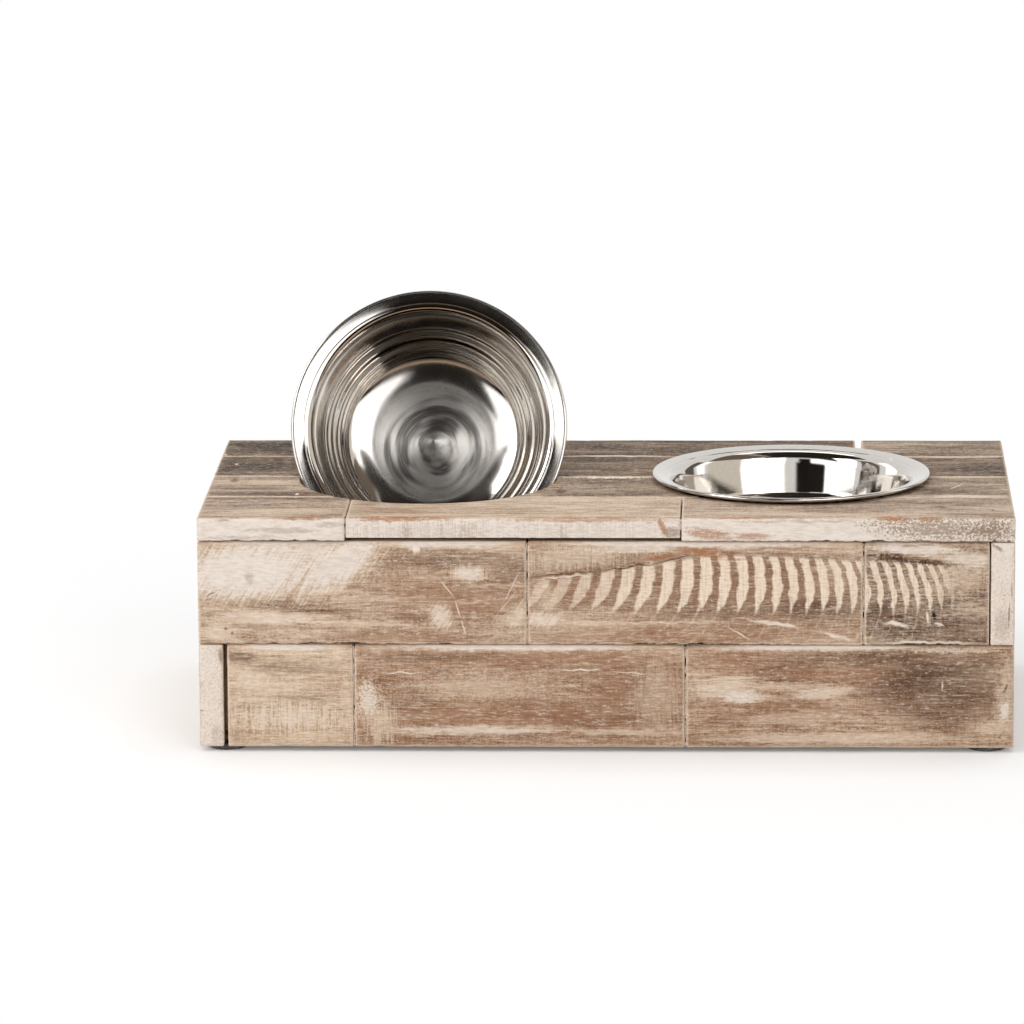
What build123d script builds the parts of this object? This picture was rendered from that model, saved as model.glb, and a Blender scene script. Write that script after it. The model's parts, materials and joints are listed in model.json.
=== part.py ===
from build123d import *
import math
import os

# Elevated feeder for a small dog: a plank-clad storage box with a hinged lid that holds two bowls.
# Units are millimetres. X is the width, Y runs from the front (-) to the back (+), Z is up.
# The origin is the centre of the box's footprint, on the surface that the feet stand on.

# ---------------------------------------------------------------- driving dimensions

# Box and boards
box_width = 382.0
box_depth = 190.0
plank_width = 49.0
plank_thickness = 11.4
plywood_thickness = 6.0
edge_ease = 0.6
worn_edge = 2.0

# Gaps between boards
course_gap = 0.3
lid_gap = 0.3
slat_gap = 0.6
butt_gap = 0.5
corner_gap = 0.5
open_corner_gap = 1.9
back_slat_gap = 2.9

# Lengths of the short boards that make up a course, counted from the box's left side
front_lower_left_length = 72.8
front_lower_middle_length = 155.2
front_upper_left_length = 154.4
front_upper_middle_length = 156.8
back_lower_left_length = 168.0
back_upper_left_length = 131.0
lid_front_left_length = 69.5
lid_front_middle_length = 156.5
lid_back_left_length = 309.9

# Lid
lid_board_clearance = 1.5
lid_board_seat = 0.3
undercut_height = 1.8
undercut_depth = 12.0

# Bowls: pressed sheet with a flat flange and a rolled rim
bowl_spacing = 174.0
bowl_rim_radius = 66.5
bowl_bead_radius = 2.0
bowl_flange_width = 6.3
bowl_flange_drop = 0.4
bowl_sheet = 0.8
bowl_depth = 46.0
bowl_floor_corner = 11.5
bowl_press_radius = 0.45
bowl_ledge_drop = 0.4
bowl_last_slope = 1.2
# The pressed steps down the wall, from the flange to the base: inward slope, height, ledge
bowl_steps = [
    (0.4, 2.6, 1.2),
    (0.4, 2.6, 1.2),
    (2.6, 8.0, 1.2),
    (1.3, 3.4, 1.1),
    (3.9, 8.8, 0.9),
    (1.2, 3.2, 1.6),
]
bowl_seat_gap = 0.3
hole_clearance = 1.8
bowl_tilt = 70.0
bowl_edge_gap = 0.3

# Feet
foot_radius = 9.5
foot_height = 2.5
foot_inset = 12.5
foot_round = 0.6

# Hinges
hinge_inset = 41.0
hinge_length = 36.0
hinge_leaf_thickness = 1.0
hinge_fixed_leaf_height = 14.0
hinge_lid_leaf_height = 9.6
knuckle_radius = 1.8
knuckle_gap = 0.3
knuckle_standoff = 0.2
knuckle_sweep_gap = 0.3
pin_radius = 0.9
pin_clearance = 0.05
pin_head_radius = 1.4
pin_head_height = 0.6

# Hinge screws
screw_spacing = 24.0
screw_head_radius = 1.9
screw_head_height = 0.8
screw_shank_radius = 1.0
screw_length = 9.0
screw_clearance = 0.05

# How far a cutting shape runs past the face that it cuts
cut_past = 1.0

# ---------------------------------------------------------------- places worked out from them

half_width = box_width / 2
half_depth = box_depth / 2
inner_half_width = half_width - plank_thickness
inner_half_depth = half_depth - plank_thickness

lower_bottom = foot_height
lower_top = lower_bottom + plank_width
upper_bottom = lower_top + course_gap
upper_top = upper_bottom + plank_width
lid_bottom = upper_top + lid_gap
lid_top = lid_bottom + plank_thickness
seam_height = (upper_top + lid_bottom) / 2

lid_board_bottom = lid_bottom - plywood_thickness
inner_wall_top = lid_board_bottom - lid_board_seat
floor_top = lower_bottom + plywood_thickness

bowl_neck_radius = bowl_rim_radius - bowl_flange_width
hole_radius = bowl_neck_radius + hole_clearance
left_bowl_x = -bowl_spacing / 2
right_bowl_x = bowl_spacing / 2

hinge_axis_y = half_depth + knuckle_standoff + knuckle_radius
hinge_axis_z = seam_height
hinge_centre = half_width - hinge_inset


# ---------------------------------------------------------------- helpers


def block(x_range, y_range, z_range):
    """A box between two limits on each axis."""
    sizes = [high - low for low, high in (x_range, y_range, z_range)]
    middle = [(high + low) / 2 for low, high in (x_range, y_range, z_range)]
    return Pos(*middle) * Box(*sizes)


def board(x_range, y_range, z_range):
    """A sawn board with all of its edges eased."""
    plank = block(x_range, y_range, z_range)
    return chamfer(plank.edges(), edge_ease)


def prism_along_x(corners, x_range):
    """A prism along X whose section has the given corners in Y and Z."""
    low, high = x_range
    outline = make_face(Polyline(*corners, close=True))
    section = Plane.YZ.offset(low) * outline
    return extrude(section, amount=high - low)


def worn_front(plank, x_range, top):
    """Take the wear off a front board's top front edge."""
    corners = [
        (-half_depth, top - worn_edge),
        (-half_depth + worn_edge, top),
        (-half_depth, top + worn_edge),
        (-half_depth - worn_edge, top),
    ]
    return plank - prism_along_x(corners, x_range)


def cylinder_along_y(x, y_range, z, radius):
    """A cylinder whose axis runs along Y."""
    low, high = y_range
    return Pos(x, (low + high) / 2, z) * Rot(90, 0, 0) * Cylinder(radius, high - low)


def cylinder_along_x(x_range, y, z, radius):
    """A cylinder whose axis runs along X."""
    low, high = x_range
    return Pos((low + high) / 2, y, z) * Rot(0, 90, 0) * Cylinder(radius, high - low)


def split_course(x_range, lengths, gaps, names):
    """Cut a course into short boards: each length in turn, and the last board takes the rest."""
    low, high = x_range
    cuts = []
    start = low
    for length, gap in zip(lengths, gaps):
        cuts.append((start, start + length - gap / 2))
        start = start + length + gap / 2
    cuts.append((start, high))
    return dict(zip(names, cuts))


# ---------------------------------------------------------------- plank cladding

parts = {}

front_y = (-half_depth, -inner_half_depth)
back_y = (inner_half_depth, half_depth)
left_x = (-half_width, -inner_half_width)
right_x = (inner_half_width, half_width)


def add_front_course(x_range, z_range, lengths, names):
    """The short boards of one front course, butted end to end."""
    gaps = [butt_gap] * len(lengths)
    for name, span in split_course(x_range, lengths, gaps, names).items():
        parts[name] = worn_front(board(span, front_y, z_range), x_range, z_range[1])


def add_back_course(x_range, z_range, lengths, names):
    """The short boards of one back course, butted end to end."""
    gaps = [butt_gap] * len(lengths)
    for name, span in split_course(x_range, lengths, gaps, names).items():
        parts[name] = board(span, back_y, z_range)


# Each course is a ring of boards in which every board covers one corner and stops short of
# the next. The upper ring turns the other way round, so the corners alternate.
lower_z = (lower_bottom, lower_top)
upper_z = (upper_bottom, upper_top)

add_front_course(
    (-inner_half_width + open_corner_gap, half_width),
    lower_z,
    [front_lower_left_length - plank_thickness - open_corner_gap, front_lower_middle_length],
    ["front_lower_left_plank", "front_lower_middle_plank", "front_lower_right_plank"],
)
add_front_course(
    (-half_width, inner_half_width - corner_gap),
    upper_z,
    [front_upper_left_length, front_upper_middle_length],
    ["front_upper_left_plank", "front_upper_middle_plank", "front_upper_right_plank"],
)
add_back_course(
    (-half_width, inner_half_width - corner_gap),
    lower_z,
    [back_lower_left_length],
    ["back_lower_left_plank", "back_lower_right_plank"],
)
add_back_course(
    (-inner_half_width + corner_gap, half_width),
    upper_z,
    [back_upper_left_length - plank_thickness - corner_gap],
    ["back_upper_left_plank", "back_upper_right_plank"],
)

covers_front = (-half_depth, inner_half_depth - corner_gap)
covers_back = (-inner_half_depth + corner_gap, half_depth)
parts["left_lower_plank"] = board(left_x, covers_front, lower_z)
parts["right_lower_plank"] = board(right_x, covers_back, lower_z)
parts["left_upper_plank"] = board(left_x, covers_back, upper_z)
parts["right_upper_plank"] = board(right_x, covers_front, upper_z)

# ---------------------------------------------------------------- plywood liner

liner_half_width = inner_half_width - plywood_thickness
liner_half_depth = inner_half_depth - plywood_thickness
liner_z = (floor_top, inner_wall_top)

parts["floor_panel"] = block(
    (-inner_half_width, inner_half_width),
    (-inner_half_depth, inner_half_depth),
    (lower_bottom, floor_top),
)
parts["liner_front_panel"] = block(
    (-inner_half_width, inner_half_width), (-inner_half_depth, -liner_half_depth), liner_z
)
parts["liner_back_panel"] = block(
    (-inner_half_width, inner_half_width), (liner_half_depth, inner_half_depth), liner_z
)
parts["liner_left_panel"] = block(
    (-inner_half_width, -liner_half_width), (-liner_half_depth, liner_half_depth), liner_z
)
parts["liner_right_panel"] = block(
    (liner_half_width, inner_half_width), (-liner_half_depth, liner_half_depth), liner_z
)

# ---------------------------------------------------------------- lid

lid_z = (lid_bottom, lid_top)


def bowl_holes(z_range):
    """The two round holes that the bowls hang in."""
    low, high = z_range
    hole = Cylinder(hole_radius, high - low)
    middle = (low + high) / 2
    return [Pos(x, 0, middle) * hole for x in (left_bowl_x, right_bowl_x)]


holes_through_lid = bowl_holes((lid_board_bottom - cut_past, lid_top + cut_past))


def drilled(piece):
    """Cut both bowl holes out of a piece of the lid."""
    for hole in holes_through_lid:
        piece = piece - hole
    return piece


lid_board_half_width = inner_half_width - lid_board_clearance
lid_board_half_depth = inner_half_depth - lid_board_clearance
parts["lid_base_board"] = drilled(
    block(
        (-lid_board_half_width, lid_board_half_width),
        (-lid_board_half_depth, lid_board_half_depth),
        (lid_board_bottom, lid_bottom),
    )
)

slat_pitch = plank_width + slat_gap
front_slat_y = (-half_depth, -half_depth + plank_width)
third_slat_y = (front_slat_y[0] + slat_pitch, front_slat_y[1] + slat_pitch)
second_slat_y = (third_slat_y[0] + slat_pitch, third_slat_y[1] + slat_pitch)
back_slat_y = (second_slat_y[1] + slat_gap, half_depth)

# The front row: three boards, of which the middle one has a torn, undercut lower edge.
front_slats = split_course(
    (-half_width, half_width),
    [lid_front_left_length, lid_front_middle_length],
    [butt_gap, butt_gap],
    ["lid_front_left_slat", "lid_front_middle_slat", "lid_front_right_slat"],
)
undercut_corners = [
    (-half_depth - cut_past, lid_bottom - cut_past),
    (-half_depth - cut_past, lid_bottom + undercut_height),
    (-half_depth, lid_bottom + undercut_height),
    (-half_depth + undercut_depth, lid_bottom),
    (-half_depth + undercut_depth, lid_bottom - cut_past),
]
for name, span in front_slats.items():
    slat = drilled(board(span, front_slat_y, lid_z))
    if name == "lid_front_middle_slat":
        slat = slat - prism_along_x(undercut_corners, span)
    parts[name] = slat

# The two middle rows: the bowl holes cut each of them into a left, middle and right board.
middle_row_cuts = {
    "left": (-half_width, left_bowl_x),
    "middle": (left_bowl_x, right_bowl_x),
    "right": (right_bowl_x, half_width),
}
for row, y_range in (("third", third_slat_y), ("second", second_slat_y)):
    whole_slat = drilled(board((-half_width, half_width), y_range, lid_z))
    for side, x_range in middle_row_cuts.items():
        share = block(x_range, y_range, lid_z)
        parts[f"lid_{row}_{side}_slat"] = whole_slat & share

# The back row is ripped narrower, and has an open joint between its two boards.
back_slats = split_course(
    (-half_width, half_width),
    [lid_back_left_length + back_slat_gap / 2],
    [back_slat_gap],
    ["lid_back_left_slat", "lid_back_right_slat"],
)
for name, span in back_slats.items():
    parts[name] = drilled(board(span, back_slat_y, lid_z))

# ---------------------------------------------------------------- feet

for row, y_sign in (("front", -1), ("back", 1)):
    for side, x_sign in (("left", -1), ("right", 1)):
        pad = Cylinder(foot_radius, foot_height)
        pad = fillet(pad.edges().group_by(Axis.Z)[0], foot_round)
        x = x_sign * (half_width - foot_inset)
        y = y_sign * (half_depth - foot_inset)
        parts[f"{row}_{side}_foot"] = Pos(x, y, foot_height / 2) * pad

# ---------------------------------------------------------------- hinges

third_of_hinge = hinge_length / 3
leaf_y = (half_depth, half_depth + hinge_leaf_thickness)
notch_radius = knuckle_radius + knuckle_sweep_gap
bore_radius = pin_radius + pin_clearance
fixed_screw_z = hinge_axis_z - knuckle_radius - (hinge_fixed_leaf_height - knuckle_radius) / 2
lid_screw_z = hinge_axis_z + knuckle_radius + (hinge_lid_leaf_height - knuckle_radius) / 2


def knuckle(x_range):
    """One barrel section of a hinge, solid: the pin's bore is cut through the whole leaf."""
    return cylinder_along_x(x_range, hinge_axis_y, hinge_axis_z, knuckle_radius)


def screw(x, z, growth=0.0):
    """A countersunk screw driven forwards into the back; growth turns it into its own hole."""
    face = leaf_y[1]
    shank = cylinder_along_y(
        x, (face - screw_length - growth, face), z, screw_shank_radius + growth
    )
    head = Cone(
        screw_shank_radius + growth, screw_head_radius + growth, screw_head_height
    )
    head = Pos(x, face - screw_head_height / 2, z) * Rot(-90, 0, 0) * head
    return shank + head


def leaf(x_range, z_range, own_knuckles, other_knuckles, screw_holes):
    """A hinge leaf: plate and knuckles, notched for the other leaf's knuckles and bored."""
    plate = block(x_range, leaf_y, z_range)
    for span in other_knuckles:
        plate = plate - cylinder_along_x(span, hinge_axis_y, hinge_axis_z, notch_radius)
    for span in own_knuckles:
        plate = plate + knuckle(span)
    plate = plate - cylinder_along_x(x_range, hinge_axis_y, hinge_axis_z, bore_radius)
    for hole in screw_holes:
        plate = plate - hole
    return plate


carcass_screws = []
lid_screws = []
back_holes = []
lid_back_holes = []

for side, x_centre in (("left", -hinge_centre), ("right", hinge_centre)):
    ends = (x_centre - hinge_length / 2, x_centre + hinge_length / 2)
    inner = (x_centre - third_of_hinge / 2, x_centre + third_of_hinge / 2)
    outer_left = (ends[0], inner[0] - knuckle_gap)
    outer_right = (inner[1] + knuckle_gap, ends[1])
    # Room for the other leaf's knuckles, with the running gap at each end
    inner_room = (outer_left[1], outer_right[0])
    outer_rooms = [(ends[0], inner[0]), (inner[1], ends[1])]
    screw_xs = (x_centre - screw_spacing / 2, x_centre + screw_spacing / 2)
    fixed_holes = [screw(x, fixed_screw_z, screw_clearance) for x in screw_xs]
    lid_holes = [screw(x, lid_screw_z, screw_clearance) for x in screw_xs]
    back_holes += fixed_holes
    lid_back_holes += lid_holes
    carcass_screws += [screw(x, fixed_screw_z) for x in screw_xs]
    lid_screws += [screw(x, lid_screw_z) for x in screw_xs]
    parts[f"{side}_hinge_fixed_leaf"] = leaf(
        ends,
        (hinge_axis_z - hinge_fixed_leaf_height, hinge_axis_z),
        [outer_left, outer_right],
        [inner_room],
        fixed_holes,
    )
    parts[f"{side}_hinge_lid_leaf"] = leaf(
        ends,
        (hinge_axis_z, hinge_axis_z + hinge_lid_leaf_height),
        [inner],
        outer_rooms,
        lid_holes,
    )
    pin = cylinder_along_x(ends, hinge_axis_y, hinge_axis_z, pin_radius)
    for end, outwards in ((ends[0], -1), (ends[1], 1)):
        near = end + outwards * pin_clearance
        far = near + outwards * pin_head_height
        span = (min(near, far), max(near, far))
        neck = (min(end, far), max(end, far))
        pin = pin + cylinder_along_x(neck, hinge_axis_y, hinge_axis_z, pin_radius)
        pin = pin + cylinder_along_x(span, hinge_axis_y, hinge_axis_z, pin_head_radius)
    parts[f"{side}_hinge_pin"] = pin

for name in ("back_upper_left_plank", "back_upper_right_plank"):
    for hole in back_holes:
        parts[name] = parts[name] - hole
for name in ("lid_back_left_slat", "lid_back_right_slat"):
    for hole in lid_back_holes:
        parts[name] = parts[name] - hole

parts["hinge_screws_in_back"] = Compound(children=carcass_screws)
parts["hinge_screws_in_lid"] = Compound(children=lid_screws)

# ---------------------------------------------------------------- bowls


def bowl_section():
    """Half of the bowl's section in X and Z, with Z 0 at the middle of the rolled rim."""
    flange_radius = bowl_rim_radius - bowl_bead_radius
    radius = bowl_neck_radius
    height = bowl_bead_radius - bowl_flange_drop
    inside = [(flange_radius, bowl_bead_radius), (radius, height)]
    for slope, drop, ledge in bowl_steps:
        inside.append((radius - slope, height - drop))
        radius = radius - slope - ledge
        height = height - drop - bowl_ledge_drop
        inside.append((radius, height))
    floor = bowl_bead_radius - bowl_depth
    inside.append((radius - bowl_last_slope, floor))
    inside.append((0, floor))
    # The outside is the inside line moved out and down by one sheet, so corners match
    outside = [(x + bowl_sheet, z - bowl_sheet) for x, z in inside[:-1]]
    outside.append((0, floor - bowl_sheet))
    corner_radii = [bowl_press_radius] * (len(inside) - 3) + [bowl_floor_corner]
    inner_line = FilletPolyline(*inside, radius=corner_radii)
    outer_line = FilletPolyline(*outside, radius=corner_radii)
    rim_end = Line(inside[0], outside[0])
    centre_end = Line(inside[-1], outside[-1])
    sheet = make_face(inner_line + outer_line + rim_end + centre_end)
    rolled_rim = Pos(flange_radius, 0) * Circle(bowl_bead_radius)
    return Plane.XZ * (sheet + rolled_rim)


def bowl():
    """A pressed bowl about the Z axis."""
    return revolve(bowl_section(), axis=Axis.Z, revolution_arc=360)


# The left bowl stands tilted in its hole, with its rolled rim on the hole's two side edges.
rim_reach = math.sqrt(bowl_rim_radius**2 - (hole_radius - bowl_edge_gap) ** 2)
tilt = math.radians(bowl_tilt)
tilted_place = Pos(
    left_bowl_x,
    rim_reach * math.cos(tilt),
    lid_top + rim_reach * math.sin(tilt),
)
parts["left_bowl"] = tilted_place * Rot(bowl_tilt, 0, 0) * bowl()
parts["right_bowl"] = Pos(right_bowl_x, 0, lid_top + bowl_seat_gap + bowl_bead_radius) * bowl()

# ---------------------------------------------------------------- export

os.makedirs("parts", exist_ok=True)
for name, shape in parts.items():
    shape.label = name
    export_step(shape, f"parts/{name}.step")
print(f"{len(parts)} nodes, lid top at {lid_top:.1f} mm, hole radius {hole_radius:.1f} mm")
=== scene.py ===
# %% [markdown]
# # An elevated dog feeder made of washed planks
# The feeder is a box of short reclaimed boards with a lid that carries two steel bowls. Its
# construction is fixed already: every piece comes in as a node of the frame, at its real size.
# This lesson gives each piece its finish. The scene is in metres and the tables are in
# millimetres. A piece that is made here stays exactly where its node is.

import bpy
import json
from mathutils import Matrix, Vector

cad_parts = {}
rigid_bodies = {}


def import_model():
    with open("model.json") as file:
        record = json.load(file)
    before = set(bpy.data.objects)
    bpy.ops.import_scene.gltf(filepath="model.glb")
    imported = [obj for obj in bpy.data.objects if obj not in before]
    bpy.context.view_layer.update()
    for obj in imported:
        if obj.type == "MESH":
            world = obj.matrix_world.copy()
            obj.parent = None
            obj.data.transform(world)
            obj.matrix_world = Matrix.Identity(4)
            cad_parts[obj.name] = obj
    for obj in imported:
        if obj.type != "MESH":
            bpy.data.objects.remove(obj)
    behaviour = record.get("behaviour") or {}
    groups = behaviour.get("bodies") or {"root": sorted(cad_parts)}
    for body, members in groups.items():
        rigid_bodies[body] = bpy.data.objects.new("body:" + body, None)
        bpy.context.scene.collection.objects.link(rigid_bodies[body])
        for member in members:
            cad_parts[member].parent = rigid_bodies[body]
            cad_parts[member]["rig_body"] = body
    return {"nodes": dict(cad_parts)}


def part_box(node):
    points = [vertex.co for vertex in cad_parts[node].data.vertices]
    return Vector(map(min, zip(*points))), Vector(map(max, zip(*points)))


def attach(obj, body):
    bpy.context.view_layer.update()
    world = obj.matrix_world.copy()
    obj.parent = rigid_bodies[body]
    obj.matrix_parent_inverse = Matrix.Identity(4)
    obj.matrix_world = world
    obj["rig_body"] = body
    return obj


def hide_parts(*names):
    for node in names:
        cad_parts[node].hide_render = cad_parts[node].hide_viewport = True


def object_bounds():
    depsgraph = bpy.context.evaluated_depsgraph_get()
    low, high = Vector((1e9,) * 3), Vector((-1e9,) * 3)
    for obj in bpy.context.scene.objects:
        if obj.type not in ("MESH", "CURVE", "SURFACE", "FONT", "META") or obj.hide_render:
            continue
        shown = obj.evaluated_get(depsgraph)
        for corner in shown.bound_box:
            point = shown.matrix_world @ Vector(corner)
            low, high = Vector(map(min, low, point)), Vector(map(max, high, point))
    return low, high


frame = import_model()
cad_low, cad_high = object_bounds()
print("nodes:", len(frame["nodes"]), "and the box is", [round(x, 4) for x in cad_high - cad_low])

# %% Tools and units
import json
import math
import random

import bmesh
import bpy
from mathutils import Matrix, Vector, noise

MM = 0.001
scene = bpy.context.scene
scene.view_settings.view_transform = "Standard"
print("view transform:", scene.view_settings.view_transform)

# %% [markdown]
# ## The camera
# A low object looks calm from far away through a long lens, a little above it, because its sides
# then stay nearly parallel. The camera could be aimed with a constraint, but a plain
# rotation from three angles is easier to read and can't change later.

# %% Camera
camera_place = Vector((72.05, -3115.63, 738.45)) * MM
camera_heading = 0.0382
camera_dip = 0.2033
camera_roll = -0.0067
focal_pixels = 6621.5
image_pixels = 1024
sensor_width = 36.0

camera_data = bpy.data.cameras.new("camera")
camera_data.sensor_width = sensor_width
camera_data.lens = sensor_width * focal_pixels / image_pixels
camera_data.clip_end = 100
camera = bpy.data.objects.new("camera", camera_data)
scene.collection.objects.link(camera)
heading = Matrix.Rotation(camera_heading, 4, "Z")
dip = Matrix.Rotation(math.pi / 2 - camera_dip, 4, "X")
roll = Matrix.Rotation(camera_roll, 4, "Z")
camera.matrix_world = Matrix.Translation(camera_place) @ heading @ dip @ roll
scene.camera = camera
print("lens:", round(camera_data.lens, 1), "mm")

# %% [markdown]
# ## A short way to write materials
# A material is a tree of nodes. Written out in full, each node takes five lines, and the idea gets
# lost. Two small classes keep the tree readable. A Recipe has one method for each kind of step,
# which adds a node and returns the Wire that comes out of it. Wires can be added, subtracted,
# multiplied and divided like numbers, and each sign adds a Math node.

# %% Wires


class Wire:
    """What comes out of a node, on its way to another node."""

    def __init__(self, recipe, socket):
        self.recipe = recipe
        self.socket = socket

    def __add__(self, other):
        return self.recipe.math("ADD", self, other)

    def __radd__(self, other):
        return self.recipe.math("ADD", other, self)

    def __sub__(self, other):
        return self.recipe.math("SUBTRACT", self, other)

    def __rsub__(self, other):
        return self.recipe.math("SUBTRACT", other, self)

    def __mul__(self, other):
        return self.recipe.math("MULTIPLY", self, other)

    def __rmul__(self, other):
        return self.recipe.math("MULTIPLY", other, self)

    def __truediv__(self, other):
        return self.recipe.math("DIVIDE", self, other)


print("wires know the signs", "+ - * /")

# %% Recipes


class Recipe:
    """A node tree with a method for each kind of step."""

    def __init__(self, tree):
        self.tree = tree

    def plug(self, node, plugs):
        """Give a node's inputs their numbers, colours or wires."""
        for key, value in plugs.items():
            if isinstance(value, Wire):
                self.tree.links.new(value.socket, node.inputs[key])
            else:
                node.inputs[key].default_value = value

    def node(self, kind, plugs, settings):
        node = self.tree.nodes.new(kind)
        for name, value in settings.items():
            setattr(node, name, value)
        self.plug(node, plugs)
        return node

    def add(self, kind, plugs, output=0, **settings):
        """Add a node and return the wire from one of its outputs."""
        return Wire(self, self.node(kind, plugs, settings).outputs[output])

    def wires(self, kind, plugs, **settings):
        """Add a node and return the wires from all its outputs, by name."""
        outputs = self.node(kind, plugs, settings).outputs
        return {socket.name: Wire(self, socket) for socket in outputs}

    def math(self, operation, *values):
        return self.add("ShaderNodeMath", dict(enumerate(values)), operation=operation)

    def vector(self, operation, first, second):
        return self.add("ShaderNodeVectorMath", {0: first, 1: second}, operation=operation)

    def length(self, vector):
        return self.add("ShaderNodeVectorMath", {0: vector}, "Value", operation="LENGTH")

    def split(self, vector):
        """The wires of a vector's X, Y and Z."""
        return list(self.wires("ShaderNodeSeparateXYZ", {0: vector}).values())

    def combine(self, x, y, z):
        return self.add("ShaderNodeCombineXYZ", {0: x, 1: y, 2: z})

    def ease(self, value, low, high, start=0.0, end=1.0):
        """A smooth step from start to end as value goes from low to high."""
        plugs = {0: value, 1: low, 2: high, 3: start, 4: end}
        return self.add("ShaderNodeMapRange", plugs, interpolation_type="SMOOTHSTEP", clamp=True)

    def mix(self, share, first, second, way="MIX"):
        """A colour that goes from first to second as share goes from 0 to 1."""
        plugs = {0: share, 6: first, 7: second}
        return self.add("ShaderNodeMix", plugs, 2, data_type="RGBA", blend_type=way)

    def tint(self, share, colour, tint):
        """The colour with a see-through tint over it."""
        return self.mix(share, colour, tint, "MULTIPLY")

    def blend(self, share, first, second):
        """A number that goes from first to second as share goes from 0 to 1."""
        return self.add("ShaderNodeMix", {0: share, 2: first, 3: second}, data_type="FLOAT")

    def noise(self, vector, stretch, detail=2.0, roughness=0.55, distortion=0.0):
        """Noise whose spots are stretched: stretch holds how many spots there are per unit."""
        plugs = {
            "Vector": self.vector("MULTIPLY", vector, stretch),
            "Scale": 1.0,
            "Detail": detail,
            "Roughness": roughness,
            "Distortion": distortion,
        }
        return self.add("ShaderNodeTexNoise", plugs)

    def largest(self, values):
        """The largest of several masks."""
        result = values[0]
        for value in values[1:]:
            result = self.math("MAXIMUM", result, value)
        return result

    def coordinate(self, kind):
        """A coordinate of the object itself: Object is its place, Normal the way it faces."""
        return self.add("ShaderNodeTexCoord", {}, kind)

    def millimetres(self):
        """The place on the object in millimetres."""
        return self.vector("MULTIPLY", self.coordinate("Object"), (1000, 1000, 1000))


print("recipe methods:", [name for name in vars(Recipe) if not name.startswith("_")])

# %% Materials


def screen_colour(red, green, blue):
    """A colour written as screen values from 0 to 255, as the linear values that shaders use."""
    values = []
    for value in (red, green, blue):
        share = value / 255
        values.append(share / 12.92 if share <= 0.04045 else ((share + 0.055) / 1.055) ** 2.4)
    return (*values, 1.0)


def screen_colours(*triples):
    return [screen_colour(*triple) for triple in triples]


class Finish(Recipe):
    """The recipe of a new material."""

    def __init__(self, name):
        self.material = bpy.data.materials.new(name)
        self.material.use_nodes = True
        super().__init__(self.material.node_tree)
        self.shader = self.tree.nodes["Principled BSDF"]

    def surface(self, colour, roughness, height, bump, **others):
        """Plug the shader. Bump is how strong the height shows and how deep it is in mm."""
        strength, depth = bump
        bump_plugs = {"Strength": strength, "Distance": depth * MM, "Height": height}
        normal = self.add("ShaderNodeBump", bump_plugs)
        self.plug(self.shader, {"Base Color": colour, "Roughness": roughness, "Normal": normal})
        self.plug(self.shader, others)

    def output(self, wire):
        """Let the material show another shader than the Principled one."""
        self.plug(self.tree.nodes["Material Output"], {"Surface": wire})


print("mid grey on a screen is", round(screen_colour(128, 128, 128)[0], 3), "for a shader")

# %% New objects


def new_object(name, bm, material, smooth=False):
    """Turn a bmesh into an object of one material."""
    for face in bm.faces:
        face.smooth = smooth
    mesh = bpy.data.meshes.new(name)
    bm.to_mesh(mesh)
    bm.free()
    mesh.materials.append(material)
    made = bpy.data.objects.new(name, mesh)
    scene.collection.objects.link(made)
    return made


print("meshes before the first new one:", len(bpy.data.meshes))

# %% [markdown]
# ## Floor, world and lamps
# The feeder stands on a pale floor in a white room. Soft light from all sides would make it flat,
# so one large lamp stands at the front left, higher than the camera, a weaker one at the right and
# another over the feeder. What the camera and polished steel see of the room is plain white, and
# only the light that the room gives to dull surfaces is weaker: Light Path tells the two apart.

# %% World
room_light = 0.50

world = bpy.data.worlds.new("room")
world.use_nodes = True
scene.world = world
room = Recipe(world.node_tree)
path = room.wires("ShaderNodeLightPath", {})
seen_kinds = [path[kind] for kind in ("Is Camera Ray", "Is Glossy Ray", "Is Transmission Ray")]
room_strength = room.ease(room.largest(seen_kinds), 0.0, 1.0, room_light, 1.0)
room.plug(world.node_tree.nodes["Background"], {"Color": (1, 1, 1, 1), "Strength": room_strength})
print("the room lights dull surfaces at", room_light, "of its brightness")

# %% Lamps


def soft_box(name, place, size, watts, aim=Vector((0, 0, 0.06))):
    """A rectangular lamp that faces the feeder."""
    data = bpy.data.lights.new(name, "AREA")
    data.shape = "RECTANGLE"
    data.size = size[0]
    data.size_y = size[1]
    data.energy = watts
    lamp = bpy.data.objects.new(name, data)
    lamp.location = place
    lamp.rotation_mode = "QUATERNION"
    lamp.rotation_quaternion = (aim - place).to_track_quat("-Z", "Y")
    scene.collection.objects.link(lamp)


soft_box("key_lamp", Vector((-2.05, -1.35, 1.75)), (1.5, 1.7), 33)
soft_box("fill_lamp", Vector((1.05, -2.15, 1.6)), (1.6, 1.5), 15)
soft_box("top_lamp", Vector((0.0, 0.3, 2.2)), (1.6, 1.2), 14)

# %% [markdown]
# The floor is pale paper, which takes a shadow near the feeder. The camera sees it fade to plain
# white further away, as if it went on for ever. A little glow, also for the camera alone, keeps the
# shadow light.

# %% Floor
floor_half = 12.0
floor_lift = 0.13
fade_start = 0.04
fade_end = 0.40

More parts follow.
